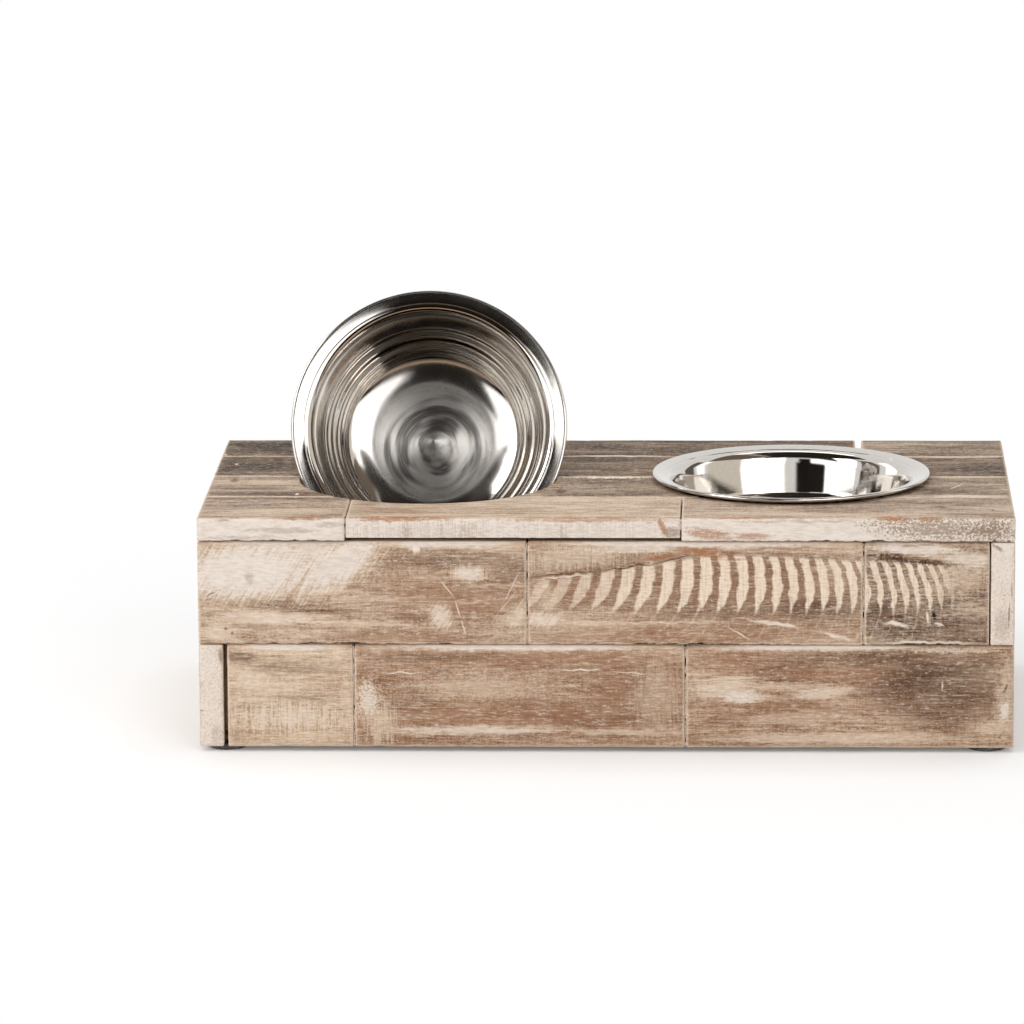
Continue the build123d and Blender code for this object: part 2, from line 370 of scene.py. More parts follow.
paper = Finish("floor_paper")
seen = paper.add("ShaderNodeLightPath", {}, "Is Camera Ray")
floor_plugs = {
    "Base Color": screen_colour(238, 238, 238),
    "Roughness": 0.9,
    "Emission Color": (1, 1, 1, 1),
    "Emission Strength": seen * floor_lift,
}
paper.plug(paper.shader, floor_plugs)
place = paper.split(paper.coordinate("Object"))
gaps = [paper.math("ABSOLUTE", place[axis]) - cad_high[axis] for axis in (0, 1)]
away = paper.length(paper.combine(*(paper.math("MAXIMUM", gap, 0.0) for gap in gaps), 0.0))
share = seen * paper.ease(away, fade_start, fade_end)
white = paper.add("ShaderNodeEmission", {"Color": (1, 1, 1, 1)})
lit = Wire(paper, paper.shader.outputs[0])
paper.output(paper.add("ShaderNodeMixShader", {0: share, 1: lit, 2: white}))

floor_bm = bmesh.new()
bmesh.ops.create_grid(floor_bm, x_segments=1, y_segments=1, size=floor_half)
floor = new_object("floor", floor_bm, paper.material)
print("floor:", floor_half * 2, "m wide")

# %% [markdown]
# ## Cards for the steel
# Polished steel has no look of its own: it shows the room. In an all-white room it would be white
# all over, so a studio sets white cards beside the camera and dark ones before and above the
# object, and the steel gets its bands. Only reflections see these cards, and their edges fade, so
# they neither shade the wood nor show in the view. The small one inside the box keeps the light of
# the plywood out of the mirror of the tilted bowl.

# %% Cards


def add_card(name, middle, half, turn, colour, fade, strength=1.0):
    """A rectangle that only reflections see. Half is half its width and height."""
    finish = Finish(name)
    place = finish.split(finish.coordinate("Object"))
    inside = 1.0
    for axis in (0, 1):
        gap = half[axis] - finish.math("ABSOLUTE", place[axis])
        inside = inside * finish.ease(gap, 0.0, fade[axis])
    glow = finish.add("ShaderNodeEmission", {"Color": colour, "Strength": strength})
    clear = finish.add("ShaderNodeBsdfTransparent", {})
    finish.output(finish.add("ShaderNodeMixShader", {0: inside, 1: clear, 2: glow}))
    bm = bmesh.new()
    bmesh.ops.create_grid(bm, x_segments=1, y_segments=1, size=1.0)
    bmesh.ops.scale(bm, vec=(half[0], half[1], 1.0), verts=bm.verts)
    card = new_object(name, bm, finish.material)
    card.matrix_world = Matrix.Translation(middle) @ turn
    card.visible_camera = False
    card.visible_diffuse = False
    card.visible_shadow = False
    card.visible_transmission = False


upright = Matrix.Rotation(math.pi / 2, 4, "X")
card_circle = 2.55
round_fade = (0.10, 0.15)


def front_card(name, x_range, z_range, y, colour, fade):
    """A dark card that stands upright and faces the front."""
    middle = Vector((sum(x_range) / 2, y, sum(z_range) / 2))
    half = ((x_range[1] - x_range[0]) / 2, (z_range[1] - z_range[0]) / 2)
    add_card(name, middle, half, upright, colour, fade)


def flat_card(name, middle, half, colour, fade):
    """A card that lies flat."""
    add_card(name, Vector(middle), half, Matrix(), colour, fade)


def round_card(name, heading, z_range, half_width, colour, strength=1.0):
    """A card on the circle round the feeder. Heading is in degrees from the front to the right."""
    way = math.radians(heading)
    middle = Vector((math.sin(way), -math.cos(way), 0)) * card_circle
    middle.z = sum(z_range) / 2
    half = (half_width, (z_range[1] - z_range[0]) / 2)
    turn = Matrix.Rotation(way, 4, "Z") @ upright
    add_card(name, middle, half, turn, colour, round_fade, strength)


print("cards stand", card_circle, "m from the feeder")

# %% Place the cards
black, brown = screen_colours((34, 31, 28), (44, 38, 32))
umber, dark_grey = screen_colours((24, 19, 14), (8, 6, 5))
warm_grey, wall_grey = screen_colours((120, 108, 96), (120, 114, 106))
pale_grey, back_grey = screen_colours((196, 190, 180), (110, 104, 96))
lamp_white = screen_colour(255, 255, 255)
front_card("body_card", (-0.52, 0.03), (0.005, 0.50), -0.80, black, (0.04, 0.03))
front_card("head_card", (-0.24, -0.02), (0.40, 0.63), -0.79, black, (0.03, 0.02))
front_card("ceiling_card", (-0.95, 0.62), (0.68, 1.60), -0.82, brown, (0.10, 0.03))
front_card("inside_card", (-0.168, -0.008), (0.010, 0.094), -0.072, dark_grey, (0.004, 0.004))
flat_card("roof_card", (-0.20, -0.20, 1.25), (0.75, 0.60), brown, (0.10, 0.10))
flat_card("side_roof_card", (0.95, -0.30, 1.25), (0.50, 0.80), warm_grey, (0.10, 0.10))
flat_card("floor_card", (0, -1.12, 0.004), (1.6, 1.0), umber, (0.2, 0.05))
round_card("left_lamp_card", -43.0, (0.0, 1.80), 1.30, lamp_white, 2.2)
round_card("right_lamp_card", 32.0, (0.0, 1.75), 1.15, lamp_white, 2.2)
round_card("right_wall_card", 74.0, (0.20, 3.00), 0.95, pale_grey, 1.6)
round_card("right_far_card", 104.0, (0.20, 2.20), 0.30, lamp_white, 2.0)
round_card("right_back_card", 122.0, (0.20, 2.20), 0.40, back_grey)
round_card("left_wall_card", -90.0, (0.20, 2.40), 0.60, wall_grey)
round_card("left_far_card", -122.0, (0.20, 2.20), 0.50, lamp_white, 2.0)

# %% [markdown]
# ## What grain is made of
# Wood grain is long and thin: it hardly changes along the board and changes quickly across it. So
# noise that is squeezed across the board and stretched along it looks like grain. One group holds
# six layers of it: the broad figure, weathered clouds, the fibres, pores, short hairs, and the
# marks that a saw leaves straight across the board. Every board uses the same group at another
# place in the noise, so no two boards look alike. The vector that goes in is in millimetres, with X
# along the board.

# %% Grain group
GRAIN_LAYERS = {
    "Figure": {"stretch": (0.010, 0.13, 0.13), "detail": 4, "roughness": 0.60, "distortion": 0.6},
    "Cloud": {"stretch": (0.022, 0.07, 0.07), "detail": 2, "roughness": 0.50},
    "Fibre": {"stretch": (0.08, 1.05, 1.05), "detail": 3, "roughness": 0.72},
    "Pore": {"stretch": (0.75, 1.25, 1.25), "detail": 2, "roughness": 0.75},
    "Hair": {"stretch": (0.26, 1.15, 1.15), "detail": 1, "roughness": 0.60},
    "Saw": {"stretch": (1.0, 0.12, 0.12), "detail": 3, "roughness": 0.70},
}
VECTOR_PLUGS = ("Vector", "Location", "Rotation", "Scale")


def new_group(name, inputs, outputs):
    """A node group with its plugs, which carry numbers unless they are named as vectors."""
    group = bpy.data.node_groups.new(name, "ShaderNodeTree")
    for way, names in (("INPUT", inputs), ("OUTPUT", outputs)):
        for plug in names:
            kind = "Vector" if plug in VECTOR_PLUGS else "Float"
            group.interface.new_socket(plug, in_out=way, socket_type="NodeSocket" + kind)
    recipe = Recipe(group)
    return recipe, recipe.wires("NodeGroupInput", {})


grain, given = new_group("wood_grain", ["Vector"], GRAIN_LAYERS)
layers = {name: grain.noise(given["Vector"], **settings) for name, settings in GRAIN_LAYERS.items()}
grain.wires("NodeGroupOutput", layers)
print("grain layers:", list(layers))

# %% [markdown]
# ## Marks with ragged edges
# The whitewash was brushed on, sanded off and worn, so it lies in patches with ragged edges. A
# patch is an ellipse: a Mapping node of the texture kind moves, turns and scales the point, and the
# point's distance from zero then says how far it is inside. Adding brush noise before the
# threshold breaks the edge up along the bristles. A knot, crack or scratch is the same thing, only
# small, dark or very thin.

# %% Patch group
patch_inputs = [*VECTOR_PLUGS, "Brush", "Ragged", "Strength"]
patch, given = new_group("ragged_patch", patch_inputs, ["Mask"])
mapping_plugs = {plug: given[plug] for plug in VECTOR_PLUGS}
centred = patch.add("ShaderNodeMapping", mapping_plugs, vector_type="TEXTURE")
inside = patch.ease(patch.length(centred), 0.0, 1.5, 1.0, 0.0)
bristles = (given["Brush"] - 0.5) * given["Ragged"]
ragged = patch.ease(inside + bristles, 0.15, 0.90)
ragged = ragged * patch.ease(inside, 0.0, 0.20)
patch.wires("NodeGroupOutput", {"Mask": ragged * given["Strength"]})
print("patch inputs:", [item.name for item in patch.tree.interface.items_tree])

# %% [markdown]
# ## The tones of the wood
# Reclaimed boards come from different trees and have weathered differently. So there isn't one
# wood colour but eight sets of three: the dark lines of the grain, the common tone and the light
# lines. The whitewash, the stains and the bare worn wood are colours of their own that all boards
# share.

# %% Tones
WOODS = {
    "straw": ((176, 146, 120), (206, 179, 153), (230, 208, 185)),
    "tan": ((152, 119, 95), (186, 156, 131), (219, 194, 171)),
    "brown": ((136, 101, 77), (172, 137, 110), (207, 178, 153)),
    "umber": ((112, 84, 66), (156, 128, 106), (204, 180, 159)),
    "sand": ((130, 108, 90), (176, 154, 134), (208, 188, 169)),
    "driftwood": ((94, 75, 58), (144, 123, 103), (188, 168, 147)),
    "dusk": ((48, 34, 23), (92, 71, 53), (146, 122, 99)),
    "cream": ((170, 144, 121), (203, 181, 158), (224, 206, 186)),
}
# Painted shade: the near black of holes, cracks and dark seams, where no light gets in, is painted
# with this colour.
PAINTED_SHADE = screen_colour(26, 20, 17)
print("woods:", list(WOODS))

# %% [markdown]
# ## Where the marks lie
# The marks of a board are in a table by the board's name and the face, sorted by their paint. Each
# mark is one row: its middle, its half size, its turn in degrees, its strength, which is how much
# it covers, how ragged its edge is, and the way of the bristles that break it up. What a row leaves
# out at its end comes from the defaults. Places are in millimetres on the face: X and Z on the
# front and back, Y and Z on the sides, X and Y on the top.

# %% Marks of the upper front boards
MARK_DEFAULTS = (0.0, 0.9, 0.9, "along")
marks = {}


def count_marks():
    return sum(len(rows) for tables in marks.values() for rows in tables.values())


marks["front_upper_left_plank", "front"] = {
    "wash": [
        (-168, 87, 50, 20, 4, 1.0, 0.7, "slant"), (-124, 91, 36, 14, 34, 0.95, 0.8, "slant"),
        (-145, 96, 50, 7, 0, 0.8, 0.9, "slant"), (-160, 64.5, 38, 4.6, 0, 0.75),
        (-181, 57, 12, 7, 0, 0.7), (-118, 62, 36, 2.2, 0, 0.55),
        (-64, 86, 10, 5.5, -5, 0.85, 0.9, "across"), (-77, 65, 7, 8, 20, 0.8, 0.9, "slant"),
        (-42, 65, 12, 6, 25, 0.7, 0.9, "slant"), (-88.8, 98.2, 4, 3.4, 0, 0.95, 0.9, "across"),
        (-74, 78.5, 6.6, 0.5, -55, 0.9, 0.3), (-69, 68.5, 5.4, 0.5, -74, 0.9, 0.3),
        (-66.4, 60, 4.4, 0.5, -72, 0.8, 0.3), (-43.5, 80, 9.6, 0.45, 62, 0.7, 0.3),
        (-40, 71, 8.6, 0.45, 54, 0.7, 0.3), (-47, 71, 10, 0.4, 50, 0.6, 0.3),
        (-72, 100.2, 46, 3.0, 0, 1.0, 0.4), (-150, 100.2, 50, 2.4, 0, 0.9, 0.6),
    ],
    "dark": [
        (-152, 71, 34, 2.6, 0, 0.55), (-135, 67.6, 26, 1.6, 0, 0.7), (-170, 60.4, 20, 1.4, 0, 0.6),
        (-68, 93.5, 36, 5.5, 0, 0.75), (-44, 89, 10, 9, 0, 0.6, 0.9, "across"),
    ],
    "red": [(-88, 77, 30, 7, 0, 0.6), (-60, 72, 22, 7, 0, 0.6), (-100, 56, 40, 4, 0, 0.5)],
    "stain": [
        (-166.7, 84, 3, 3.4, 0, 0.4, 0.9, "across"), (-185, 75.5, 2.6, 0.7, 18, 0.95, 0.2),
        (-186, 73.4, 2.0, 0.5, 0, 0.6, 0.2), (-140, 61.6, 9, 0.4, 0, 0.8, 0.4),
        (-178, 59.6, 1.0, 1.0, 0, 0.8, 0.3), (-175, 56.8, 1.0, 1.0, 0, 0.8, 0.3),
        (-59, 82.4, 20, 0.6, 0, 0.6, 0.4),
    ],
}
marks["front_upper_middle_plank", "front"] = {
    "wash": [
        (-14, 94, 34, 8, 5, 0.62, 1.4, "across"), (16, 97.5, 50, 2.8, 3, 0.75, 1.2, "across"),
        (42, 100.2, 100, 2.9, 0, 1.0, 0.5), (-29, 64, 12, 4.6, 0, 0.8, 0.9, "slant"),
        (-8, 62, 26, 1.8, 0, 0.6), (30, 62.5, 36, 0.8, 0, 0.6, 0.6),
        (79, 62.2, 17, 1.2, -8, 0.9, 0.6), (62, 57.6, 8, 0.5, -30, 0.8, 0.3),
        (108, 56, 10, 1.2, -14, 0.85, 0.5), (-20, 84.2, 18, 0.6, 5.6, 0.8, 0.3),
        (-28, 76, 6, 10, 12, 0.5, 1.2, "slant"),
    ],
    "stain": [
        (-19, 85.7, 20, 0.6, 5.6, 0.95, 0.2), (12, 89.3, 17, 0.65, 8, 0.95, 0.2),
        (32, 93.0, 10, 0.7, 14, 0.9, 0.2), (45, 97.4, 20, 1.2, -4, 0.5),
        (86, 98.2, 22, 0.8, 0, 0.4),
    ],
    "rust": [(47, 95.6, 19, 2.2, -7, 0.9, 1.1), (26, 93.8, 10, 1.4, 8, 0.8, 0.8)],
    "dark": [(100, 68.5, 26, 6, 0, 0.8), (52, 67.0, 40, 2.6, 0, 0.55), (44, 84, 80, 9, 0, 0.5)],
    "red": [(30, 56.5, 90, 6, 0, 0.75), (-14, 79, 26, 10, 0, 0.7), (50, 83, 80, 12, 0, 0.5)],
}
marks["front_upper_right_plank", "front"] = {
    "wash": [
        (144, 98, 34, 4.2, -3, 0.9, 0.8), (168, 93, 20, 6, -5, 0.8),
        (168, 84, 16, 9, 0, 0.5, 1.3, "across"), (136, 61.8, 8, 1.4, -6, 0.95, 0.5),
        (150.2, 65.5, 0.9, 3.8, 6, 0.95, 0.6, "across"), (155.6, 61.8, 3.0, 0.9, -8, 0.9, 0.6),
        (150, 53.0, 32, 1.0, 0, 0.9, 0.4),
    ],
    "stain": [
        (134, 93.4, 14, 1.8, -9, 0.9, 1.4, "across"), (154, 91.0, 14, 1.4, -5, 0.9, 1.4, "across"),
    ],
    "dark": [
        (128.5, 69.5, 8, 6, 0, 1.0), (158, 66.5, 11, 8, 0, 1.0), (150, 60, 40, 12, 0, 0.75),
        (174, 60, 12, 9, 0, 0.6),
    ],
    # Painted shade in a crack or hole.
    "hole": [(153.3, 66, 1.1, 3.0, 8, 1.0, 0.2)],
}
print("marks on the upper boards:", count_marks())

# %% Marks of the lower front boards
marks["front_lower_left_plank", "front"] = {
    "dark": [(-171, 45.6, 11, 3.6, -8, 1.0), (-150, 41, 30, 4, -3, 0.6), (-140, 26, 20, 3, 0, 0.4)],
    "wash": [
        (-149, 50.8, 36, 2.8, 0, 1.0, 0.4), (-166, 35, 14, 6.5, -6, 0.7, 0.9, "slant"),
        (-156, 31, 24, 4, 0, 0.45), (-150, 16.5, 34, 9, 0, 0.75, 2.0, "across"),
        (-140, 8, 26, 4, 0, 0.5, 1.4, "across"), (-121, 26, 5, 16, 0, 0.5, 1.6, "across"),
    ],
}
marks["front_lower_middle_plank", "front"] = {
    "wash": [
        (-40, 50.8, 92, 2.6, 0, 1.0, 0.4), (-111.5, 25, 6.5, 11, 0, 0.85, 1.6, "speckle"),
        (-106, 14, 10, 13, 0, 0.65, 1.8, "across"), (-96, 38.3, 13, 0.6, 0, 0.85, 0.5),
        (-11, 39.7, 12, 0.5, 0, 0.95, 0.3), (12, 38.5, 13, 0.5, -6, 0.8, 0.3),
        (-64, 10.6, 56, 3.2, 0, 0.8), (8, 10, 34, 2.0, 0, 0.6),
        (-60, 32, 44, 8, 0, 0.42, 1.2, "speckle"), (24, 26, 14, 22, 0, 0.35, 1.4, "across"),
    ],
    "red": [
        (-50, 18, 74, 6.5, 0, 0.8), (-20, 44, 70, 5, 0, 0.7),
        (2, 30, 12, 22, 0, 0.6, 0.9, "across"),
    ],
    "dark": [(-70, 46.0, 48, 3.0, 0, 0.6), (-88, 22, 22, 6, 0, 0.5)],
    "rust": [(-96, 36.4, 8, 0.7, 0, 0.5, 0.5)],
}
marks["front_lower_right_plank", "front"] = {
    "wash": [
        (96, 50.8, 70, 2.3, 0, 1.0, 0.5), (160, 49.6, 28, 1.6, 0, 0.7, 1.6, "speckle"),
        (55, 31, 22, 6.5, 4, 0.75), (63, 27.4, 15, 4.6), (101, 29, 20, 4, 3, 0.75),
        (84, 32, 36, 2.4, 0, 0.55), (56, 35.4, 22, 0.9, 3, 0.7, 0.5), (90, 17, 34, 4, 3, 0.45),
        (110, 7, 76, 4, 0, 0.65), (187, 24, 7, 26, 0, 0.55, 1.4, "speckle"),
        (186.4, 20, 3.4, 6.5, 0, 0.9, 1.6, "speckle"), (180, 12, 12, 4, 0, 0.6, 0.9, "speckle"),
        (157.4, 33, 3.6, 0.6, 88, 0.8, 0.3),
    ],
    "dark": [(158, 32, 40, 23, 0, 1.0), (130, 46, 54, 5, 0, 0.75), (180, 38, 10, 14, 0, 0.6)],
    "stain": [
        (187, 31.6, 0.7, 2.6, -28, 0.95, 0.2), (176, 44, 10, 5, 0, 0.35, 0.9, "speckle"),
        (150, 38, 30, 8, -4, 0.45, 1.6),
    ],
    "red": [(80, 20, 46, 7, 0, 0.7), (58, 43, 26, 5, 0, 0.75), (110, 38, 40, 5, 0, 0.6)],
}
print("marks on the front:", count_marks())

# %% Marks of the corners
marks["right_upper_plank", "front"] = {
    "stain": [
        (188.2, 66, 8, 0.5, 88, 0.9, 0.5), (189.4, 78, 6, 0.4, 92, 0.7, 0.5),
        (182.4, 98.8, 4, 1.2, -30, 0.7, 0.9, "speckle"), (185, 62, 5, 9, 0, 0.35, 1.6, "speckle"),
    ],
    "wash": [(184, 84, 6, 16, 0, 0.8, 0.9, "speckle")],
}
marks["left_lower_plank", "front"] = {
    "wash": [(-187, 34, 5, 20, 0, 0.8, 0.9, "slant")],
    "stain": [
        (-180.4, 46, 1.6, 5, 10, 0.7), (-190, 20, 1.0, 0.6, 0, 0.8, 0.3),
        (-183, 8, 3, 6, 0, 0.25, 0.9, "speckle"),
    ],
}
print("marks with the corners:", count_marks())

# %% Marks of the lid's front row
marks["lid_front_left_slat", "front"] = {
    "stain": [
        (-179, 110.9, 4, 0.8, -4, 0.6, 0.4), (-150, 106.5, 20, 2.0, 0, 0.35),
        (-128, 109, 10, 1.6, 0, 0.35), (-168, 103, 24, 0.9, 0, 0.3),
    ],
    "rust": [(-142, 111.9, 16, 0.9, 0, 0.8)],
}
marks["lid_front_left_slat", "top"] = {
    "dark": [(-160, -50, 40, 5), (-170, -66, 26, 4, 0, 0.4)],
    "wash": [(-147.6, -47, 1.2, 2.6, 0, 0.8, 0.3, "across"), (-150, -80, 40, 8, 0, 0.55)],
    "rust": [(-142, -93.6, 16, 2.0, 0, 0.8), (-175, -93.8, 9, 1.6, 0, 0.5)],
}
marks["lid_front_middle_slat", "front"] = {
    "stain": [
        (-84, 105, 44, 6.4, 0, 0.24, 3.0, "fine"), (-10, 105, 52, 6.0, 0, 0.16, 3.0, "fine"),
        (-93, 105, 3.0, 6.5, 0, 0.5, 2.0, "fine"), (-76, 105.5, 1.5, 6.0, 0, 0.4, 2.0, "fine"),
        (-65, 105, 5.5, 6.5, 0, 0.38, 2.5, "fine"), (-20, 105, 2.2, 6.0, 0, 0.42, 2.0, "fine"),
        (-44, 102.4, 80, 0.9, 0, 0.7, 0.9, "speckle"), (31, 105.4, 5, 4, 0, 0.7, 0.9, "across"),
    ],
    "rust": [
        (-10, 111.4, 50, 1.2, 0, 0.6), (-95, 111.6, 28, 1.1, 0, 0.75),
        (26.5, 108.6, 1.8, 6.0, 22, 0.8, 0.6),
    ],
}
marks["lid_front_middle_slat", "top"] = {
    "rust": [(-10, -93.4, 48, 2.2, 0, 0.7), (-95, -93.4, 30, 2.8)],
    "wash": [(-50, -88, 74, 1.2, 0, 0.75, 0.4)],
    "red": [(-96, -82, 20, 6, 0, 0.5)],
    "dark": [(-112, -60, 10, 8, 0, 0.5)],
}
marks["lid_front_right_slat", "front"] = {
    "rust": [
        (48, 105, 15, 3.0, -6, 0.75, 1.2), (68, 103.6, 12, 1.8, 0, 0.7, 1.2), (133, 112.0, 9, 1.4),
        (151, 112.2, 7, 1.2, 0, 0.8),
    ],
    "stain": [
        (154, 107.5, 32, 6, -3, 0.74, 2.6, "speckle"), (178, 107, 16, 6, 0, 0.9, 2.4, "speckle"),
        (90, 111, 40, 0.9, 0, 0.35),
    ],
    "wash": [(160, 101.9, 28, 1.1, 0, 0.9, 0.5)],
    # Painted shade in small holes at the seam under the lid.
    "hole": [(181.4, 101.8, 1.2, 1.0, 0, 0.9, 0.2), (188, 101.8, 1.0, 0.8, 0, 0.9, 0.2)],
}
marks["lid_front_right_slat", "top"] = {
    "rust": [(133, -92.6, 9, 3.4), (151, -93.4, 7, 2.2, 0, 0.8), (70, -93.8, 36, 1.6, 0, 0.7)],
    "stain": [(156.5, -68.8, 5, 3, 0, 0.8, 0.3), (181, -75.7, 1.0, 2.2, 0, 0.9, 0.2)],
    "dark": [(140, -58, 50, 6, 0, 0.7), (170, -84, 24, 4, 0, 0.5)],
    "wash": [(95, -86, 60, 5, 0, 0.5)],
}
print("marks with the lid's front:", count_marks())

# %% Marks of the lid's other rows
marks["lid_third_left_slat", "top"] = {
    "stain": [(-179.8, -6.5, 2.8, 7, 0, 0.85, 0.4)],
    "dark": [(-160, -38, 44, 8, 0, 1.0), (-172, -26, 24, 4, 0, 0.8)],
    "wash": [
        (-147.6, -39.6, 1.2, 3.0, 0, 0.95, 0.3, "across"),
        (-134.6, -35, 1.2, 3.0, 0, 0.95, 0.3, "across"), (-165, -12, 26, 8, 0, 0.45),
    ],
}
marks["lid_second_left_slat", "top"] = {
    "wash": [
        (-182, 33.3, 1.1, 2.8, 0, 0.9, 0.3, "across"), (-172, 5.5, 18, 1.6, 0, 0.5, 0.9, "across"),
    ],
    "dark": [(-165, 15, 32, 9, 0, 0.8)],
    "stain": [(-165, 34, 34, 16, 0, 0.26, 1.2)],
}
marks["lid_back_left_slat", "top"] = {
    "wash": [(-189.3, 57, 1.1, 2.8, 0, 0.8, 0.3, "across"), (2, 55.2, 30, 1.6, 0, 0.95, 0.3)],
    "dark": [(-165, 80, 40, 14)],
    "stain": [(-165, 76, 36, 20, 0, 0.34, 1.2)],
}
marks["lid_third_middle_slat", "top"] = {
    "stain": [(-22.4, -31.9, 3.4, 6, 0, 0.9, 0.4)],
    "wash": [(0, 1.4, 26, 3.2, 0, 1.0, 1.3, "across")],
    "dark": [(8, -14, 26, 5, 0, 0.5)],
}
marks["lid_third_right_slat", "top"] = {
    "wash": [
        (165.5, -20, 9, 0.8, 62, 0.8, 0.3), (170, -43, 26, 3, 0, 0.8), (170, 2.4, 24, 1.8, 0, 0.8),
    ],
    "dark": [(164, -30, 22, 8, 0, 0.6)],
}
marks["lid_second_right_slat", "top"] = {
    # Painted shade in a hole.
    "hole": [(183.7, 29.8, 0.9, 2.4, 0, 0.9, 0.2)],
    "wash": [(165, 51.6, 26, 1.8, 0, 0.8)],
    "dark": [(172, 26, 20, 12, 0, 0.8)],
    "stain": [(170, 26, 26, 22, 0, 0.3, 1.2)],
}
print("marks in all:", count_marks())

# %% [markdown]
# The back and the sides have the same kind of marks, but nobody chose them one by one. They are
# dealt out with dice, and the dice are seeded with the board's number, so that each run deals the
# same hand.

# %% Marks dealt with dice


def dealt_marks(seed, span, height):
    """Wash, stains and scratches spread over a face that reaches over span and height, in mm."""
    dice = random.Random(seed)
    length = span[1] - span[0]
    dealt = {"wash": [], "dark": [], "red": []}
    for _ in range(2 + int(length / 45)):
        at = (dice.uniform(*span), dice.uniform(*height))
        half = (dice.uniform(8, 0.24 * length + 8), dice.uniform(1.5, 7))
        brush = dice.choice(("along", "along", "across", "slant"))
        turn = dice.uniform(-8, 8)
        dealt["wash"].append((*at, *half, turn, dice.uniform(0.4, 0.9), 0.9, brush))
    for _ in range(1 + int(length / 70)):
        at = (dice.uniform(*span), dice.uniform(*height))
        half = (dice.uniform(8, 0.2 * length + 8), dice.uniform(1, 5))
        dealt["dark"].append((*at, *half, dice.uniform(-4, 4), dice.uniform(0.4, 0.9)))
    for _ in range(1 + int(length / 90)):
        at = (dice.uniform(*span), dice.uniform(*height))
        dealt["red"].append((*at, dice.uniform(15, 50), dice.uniform(3, 8), 0, 0.5))
    scratch = (dice.uniform(*span), dice.uniform(*height), dice.uniform(5, 12), 0.35)
    dealt["wash"].append((*scratch, dice.uniform(-60, 60), 0.6))
    return dealt


print("a dealt mark:", dealt_marks(1, (0, 100), (0, 49))["wash"][0])

# %% [markdown]
# ## Crescents left by a round saw
# A round saw leaves arcs across a board, one for each bite of its teeth, and the wash stays in
# them. Each arc is a piece of the same circle, moved along: subtracting the circle's own bulge from
# X straightens the arcs, and a cosine of what is left makes the stripes. The bites grow closer
# together along the board, so the phase has a cubic term as well. The stripes narrow to a point
# below, and two slanting lines end them above.

# %% Saw crescents
kerf_radius = 40.0
kerf_level = 78.0
kerf_middle = 92.0
kerf_slope = -0.147
kerf_start = -10.9
kerf_rate = 0.1
kerf_squeeze = 1.15e-6
left_top = (0.16, 87.5)
right_top = (-0.045, 98.0)


def saw_crescents(recipe, x, z, ragged):
    """A mask of pale crescents over the point X, Z in millimetres."""
    centre = recipe.math("MULTIPLY_ADD", x, kerf_slope, kerf_middle)
    reaches = []
    for height in (z, kerf_level):
        rise = height - centre
        reaches.append(recipe.math("SQRT", kerf_radius**2 - rise * rise))
    bulge = reaches[0] - reaches[1]
    start = x - bulge - kerf_start
    squeezed = recipe.math("POWER", recipe.math("MAXIMUM", start, 0.0), 3.0) * kerf_squeeze
    bites = start * kerf_rate + squeezed
    wave = recipe.math("COSINE", bites * (2 * math.pi))
    widest = recipe.ease(x, 105.0, 130.0, -0.34, -0.15)
    wave = wave - recipe.ease(z, 65.0, 79.0, 1.15, widest) + ragged
    stripes = recipe.ease(wave, -0.35, 0.45)
    tops = [x * slope + level for slope, level in (left_top, right_top)]
    over = z - recipe.math("MINIMUM", *tops) + ragged * 3.0
    stripes = stripes * recipe.ease(over, -1.5, 0.6, 1.0, 0.0)
    return stripes * recipe.ease(x, 150.0, 170.0, 1.0, 0.0)


print("the first arcs are", 1 / kerf_rate, "mm apart")

# %% [markdown]
# ## The material of a board
# Each board gets a material of its own from one recipe. It reads Object coordinates: a board's
# object stays at the origin, so they are the board's real place, and the pattern sticks to the
# board when the lid swings. Coverings follow each other as on the real board: wood, then what has
# darkened it, then wash, then stains and what has worn through, then painted shade in holes,
# cracks and seams. The wash is thickest along the edges, where the distance to the nearest edge
# is the middle one of the three distances to the sides. Dirt in the pores, pale hairs and a dark
# line of painted shade at the very edge, where the gaps between boards fall dark, come last.

# %% Faces of a board
FACE_NORMALS = {
    "front": (1, -1),
    "back": (1, 1),
    "left": (0, -1),
    "right": (0, 1),
    "top": (2, 1),
}
FACE_AXES = {"front": (0, 2), "back": (0, 2), "left": (1, 2), "right": (1, 2), "top": (0, 1)}


def face_mask(recipe, normals, face):
    """One where the surface looks the way of the face, in the object's own directions."""
    axis, sign = FACE_NORMALS[face]
    return recipe.ease(normals[axis] * sign, 0.35, 0.60)


def edge_distance(recipe, place, name):
    """How far a point of a board's surface is from the nearest edge, in millimetres."""
    low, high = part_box(name)
    gaps = []
    for axis in range(3):
        from_low = place[axis] - low[axis] / MM
        from_high = high[axis] / MM - place[axis]
        gaps.append(recipe.math("MINIMUM", from_low, from_high))
    smaller = recipe.math("MINIMUM", gaps[0], gaps[1])
    larger = recipe.math("MAXIMUM", gaps[0], gaps[1])
    return recipe.math("MAXIMUM", smaller, recipe.math("MINIMUM", larger, gaps[2]))


print("faces with masks:", list(FACE_NORMALS))

# %% Brushes
BRUSH_STRETCH = {
    "along": (0.06, 0.9, 0.9),
    "across": (0.9, 0.06, 0.06),
    "speckle": (0.8, 0.8, 0.8),
    "fine": (2.2, 0.05, 0.05),
}
slant_turn = (0, math.radians(58), 0)


def board_brushes(recipe, along, pore):
    """Brush noise for each way of the bristles, with the pores in it."""
    slanted = recipe.add("ShaderNodeMapping", {"Vector": along, "Rotation": slant_turn})
    ways = {way: (along, stretch) for way, stretch in BRUSH_STRETCH.items()}
    ways["slant"] = (slanted, BRUSH_STRETCH["along"])
    brushes = {}
    for way, (vector, stretch) in ways.items():
        strokes = (recipe.noise(vector, stretch, detail=4, roughness=0.7) - 0.5) * 1.5
        pits = (pore - 0.5) * 0.9
        brushes[way] = strokes + pits + 0.5
    return brushes


print("brushes:", list(BRUSH_STRETCH) + ["slant"])

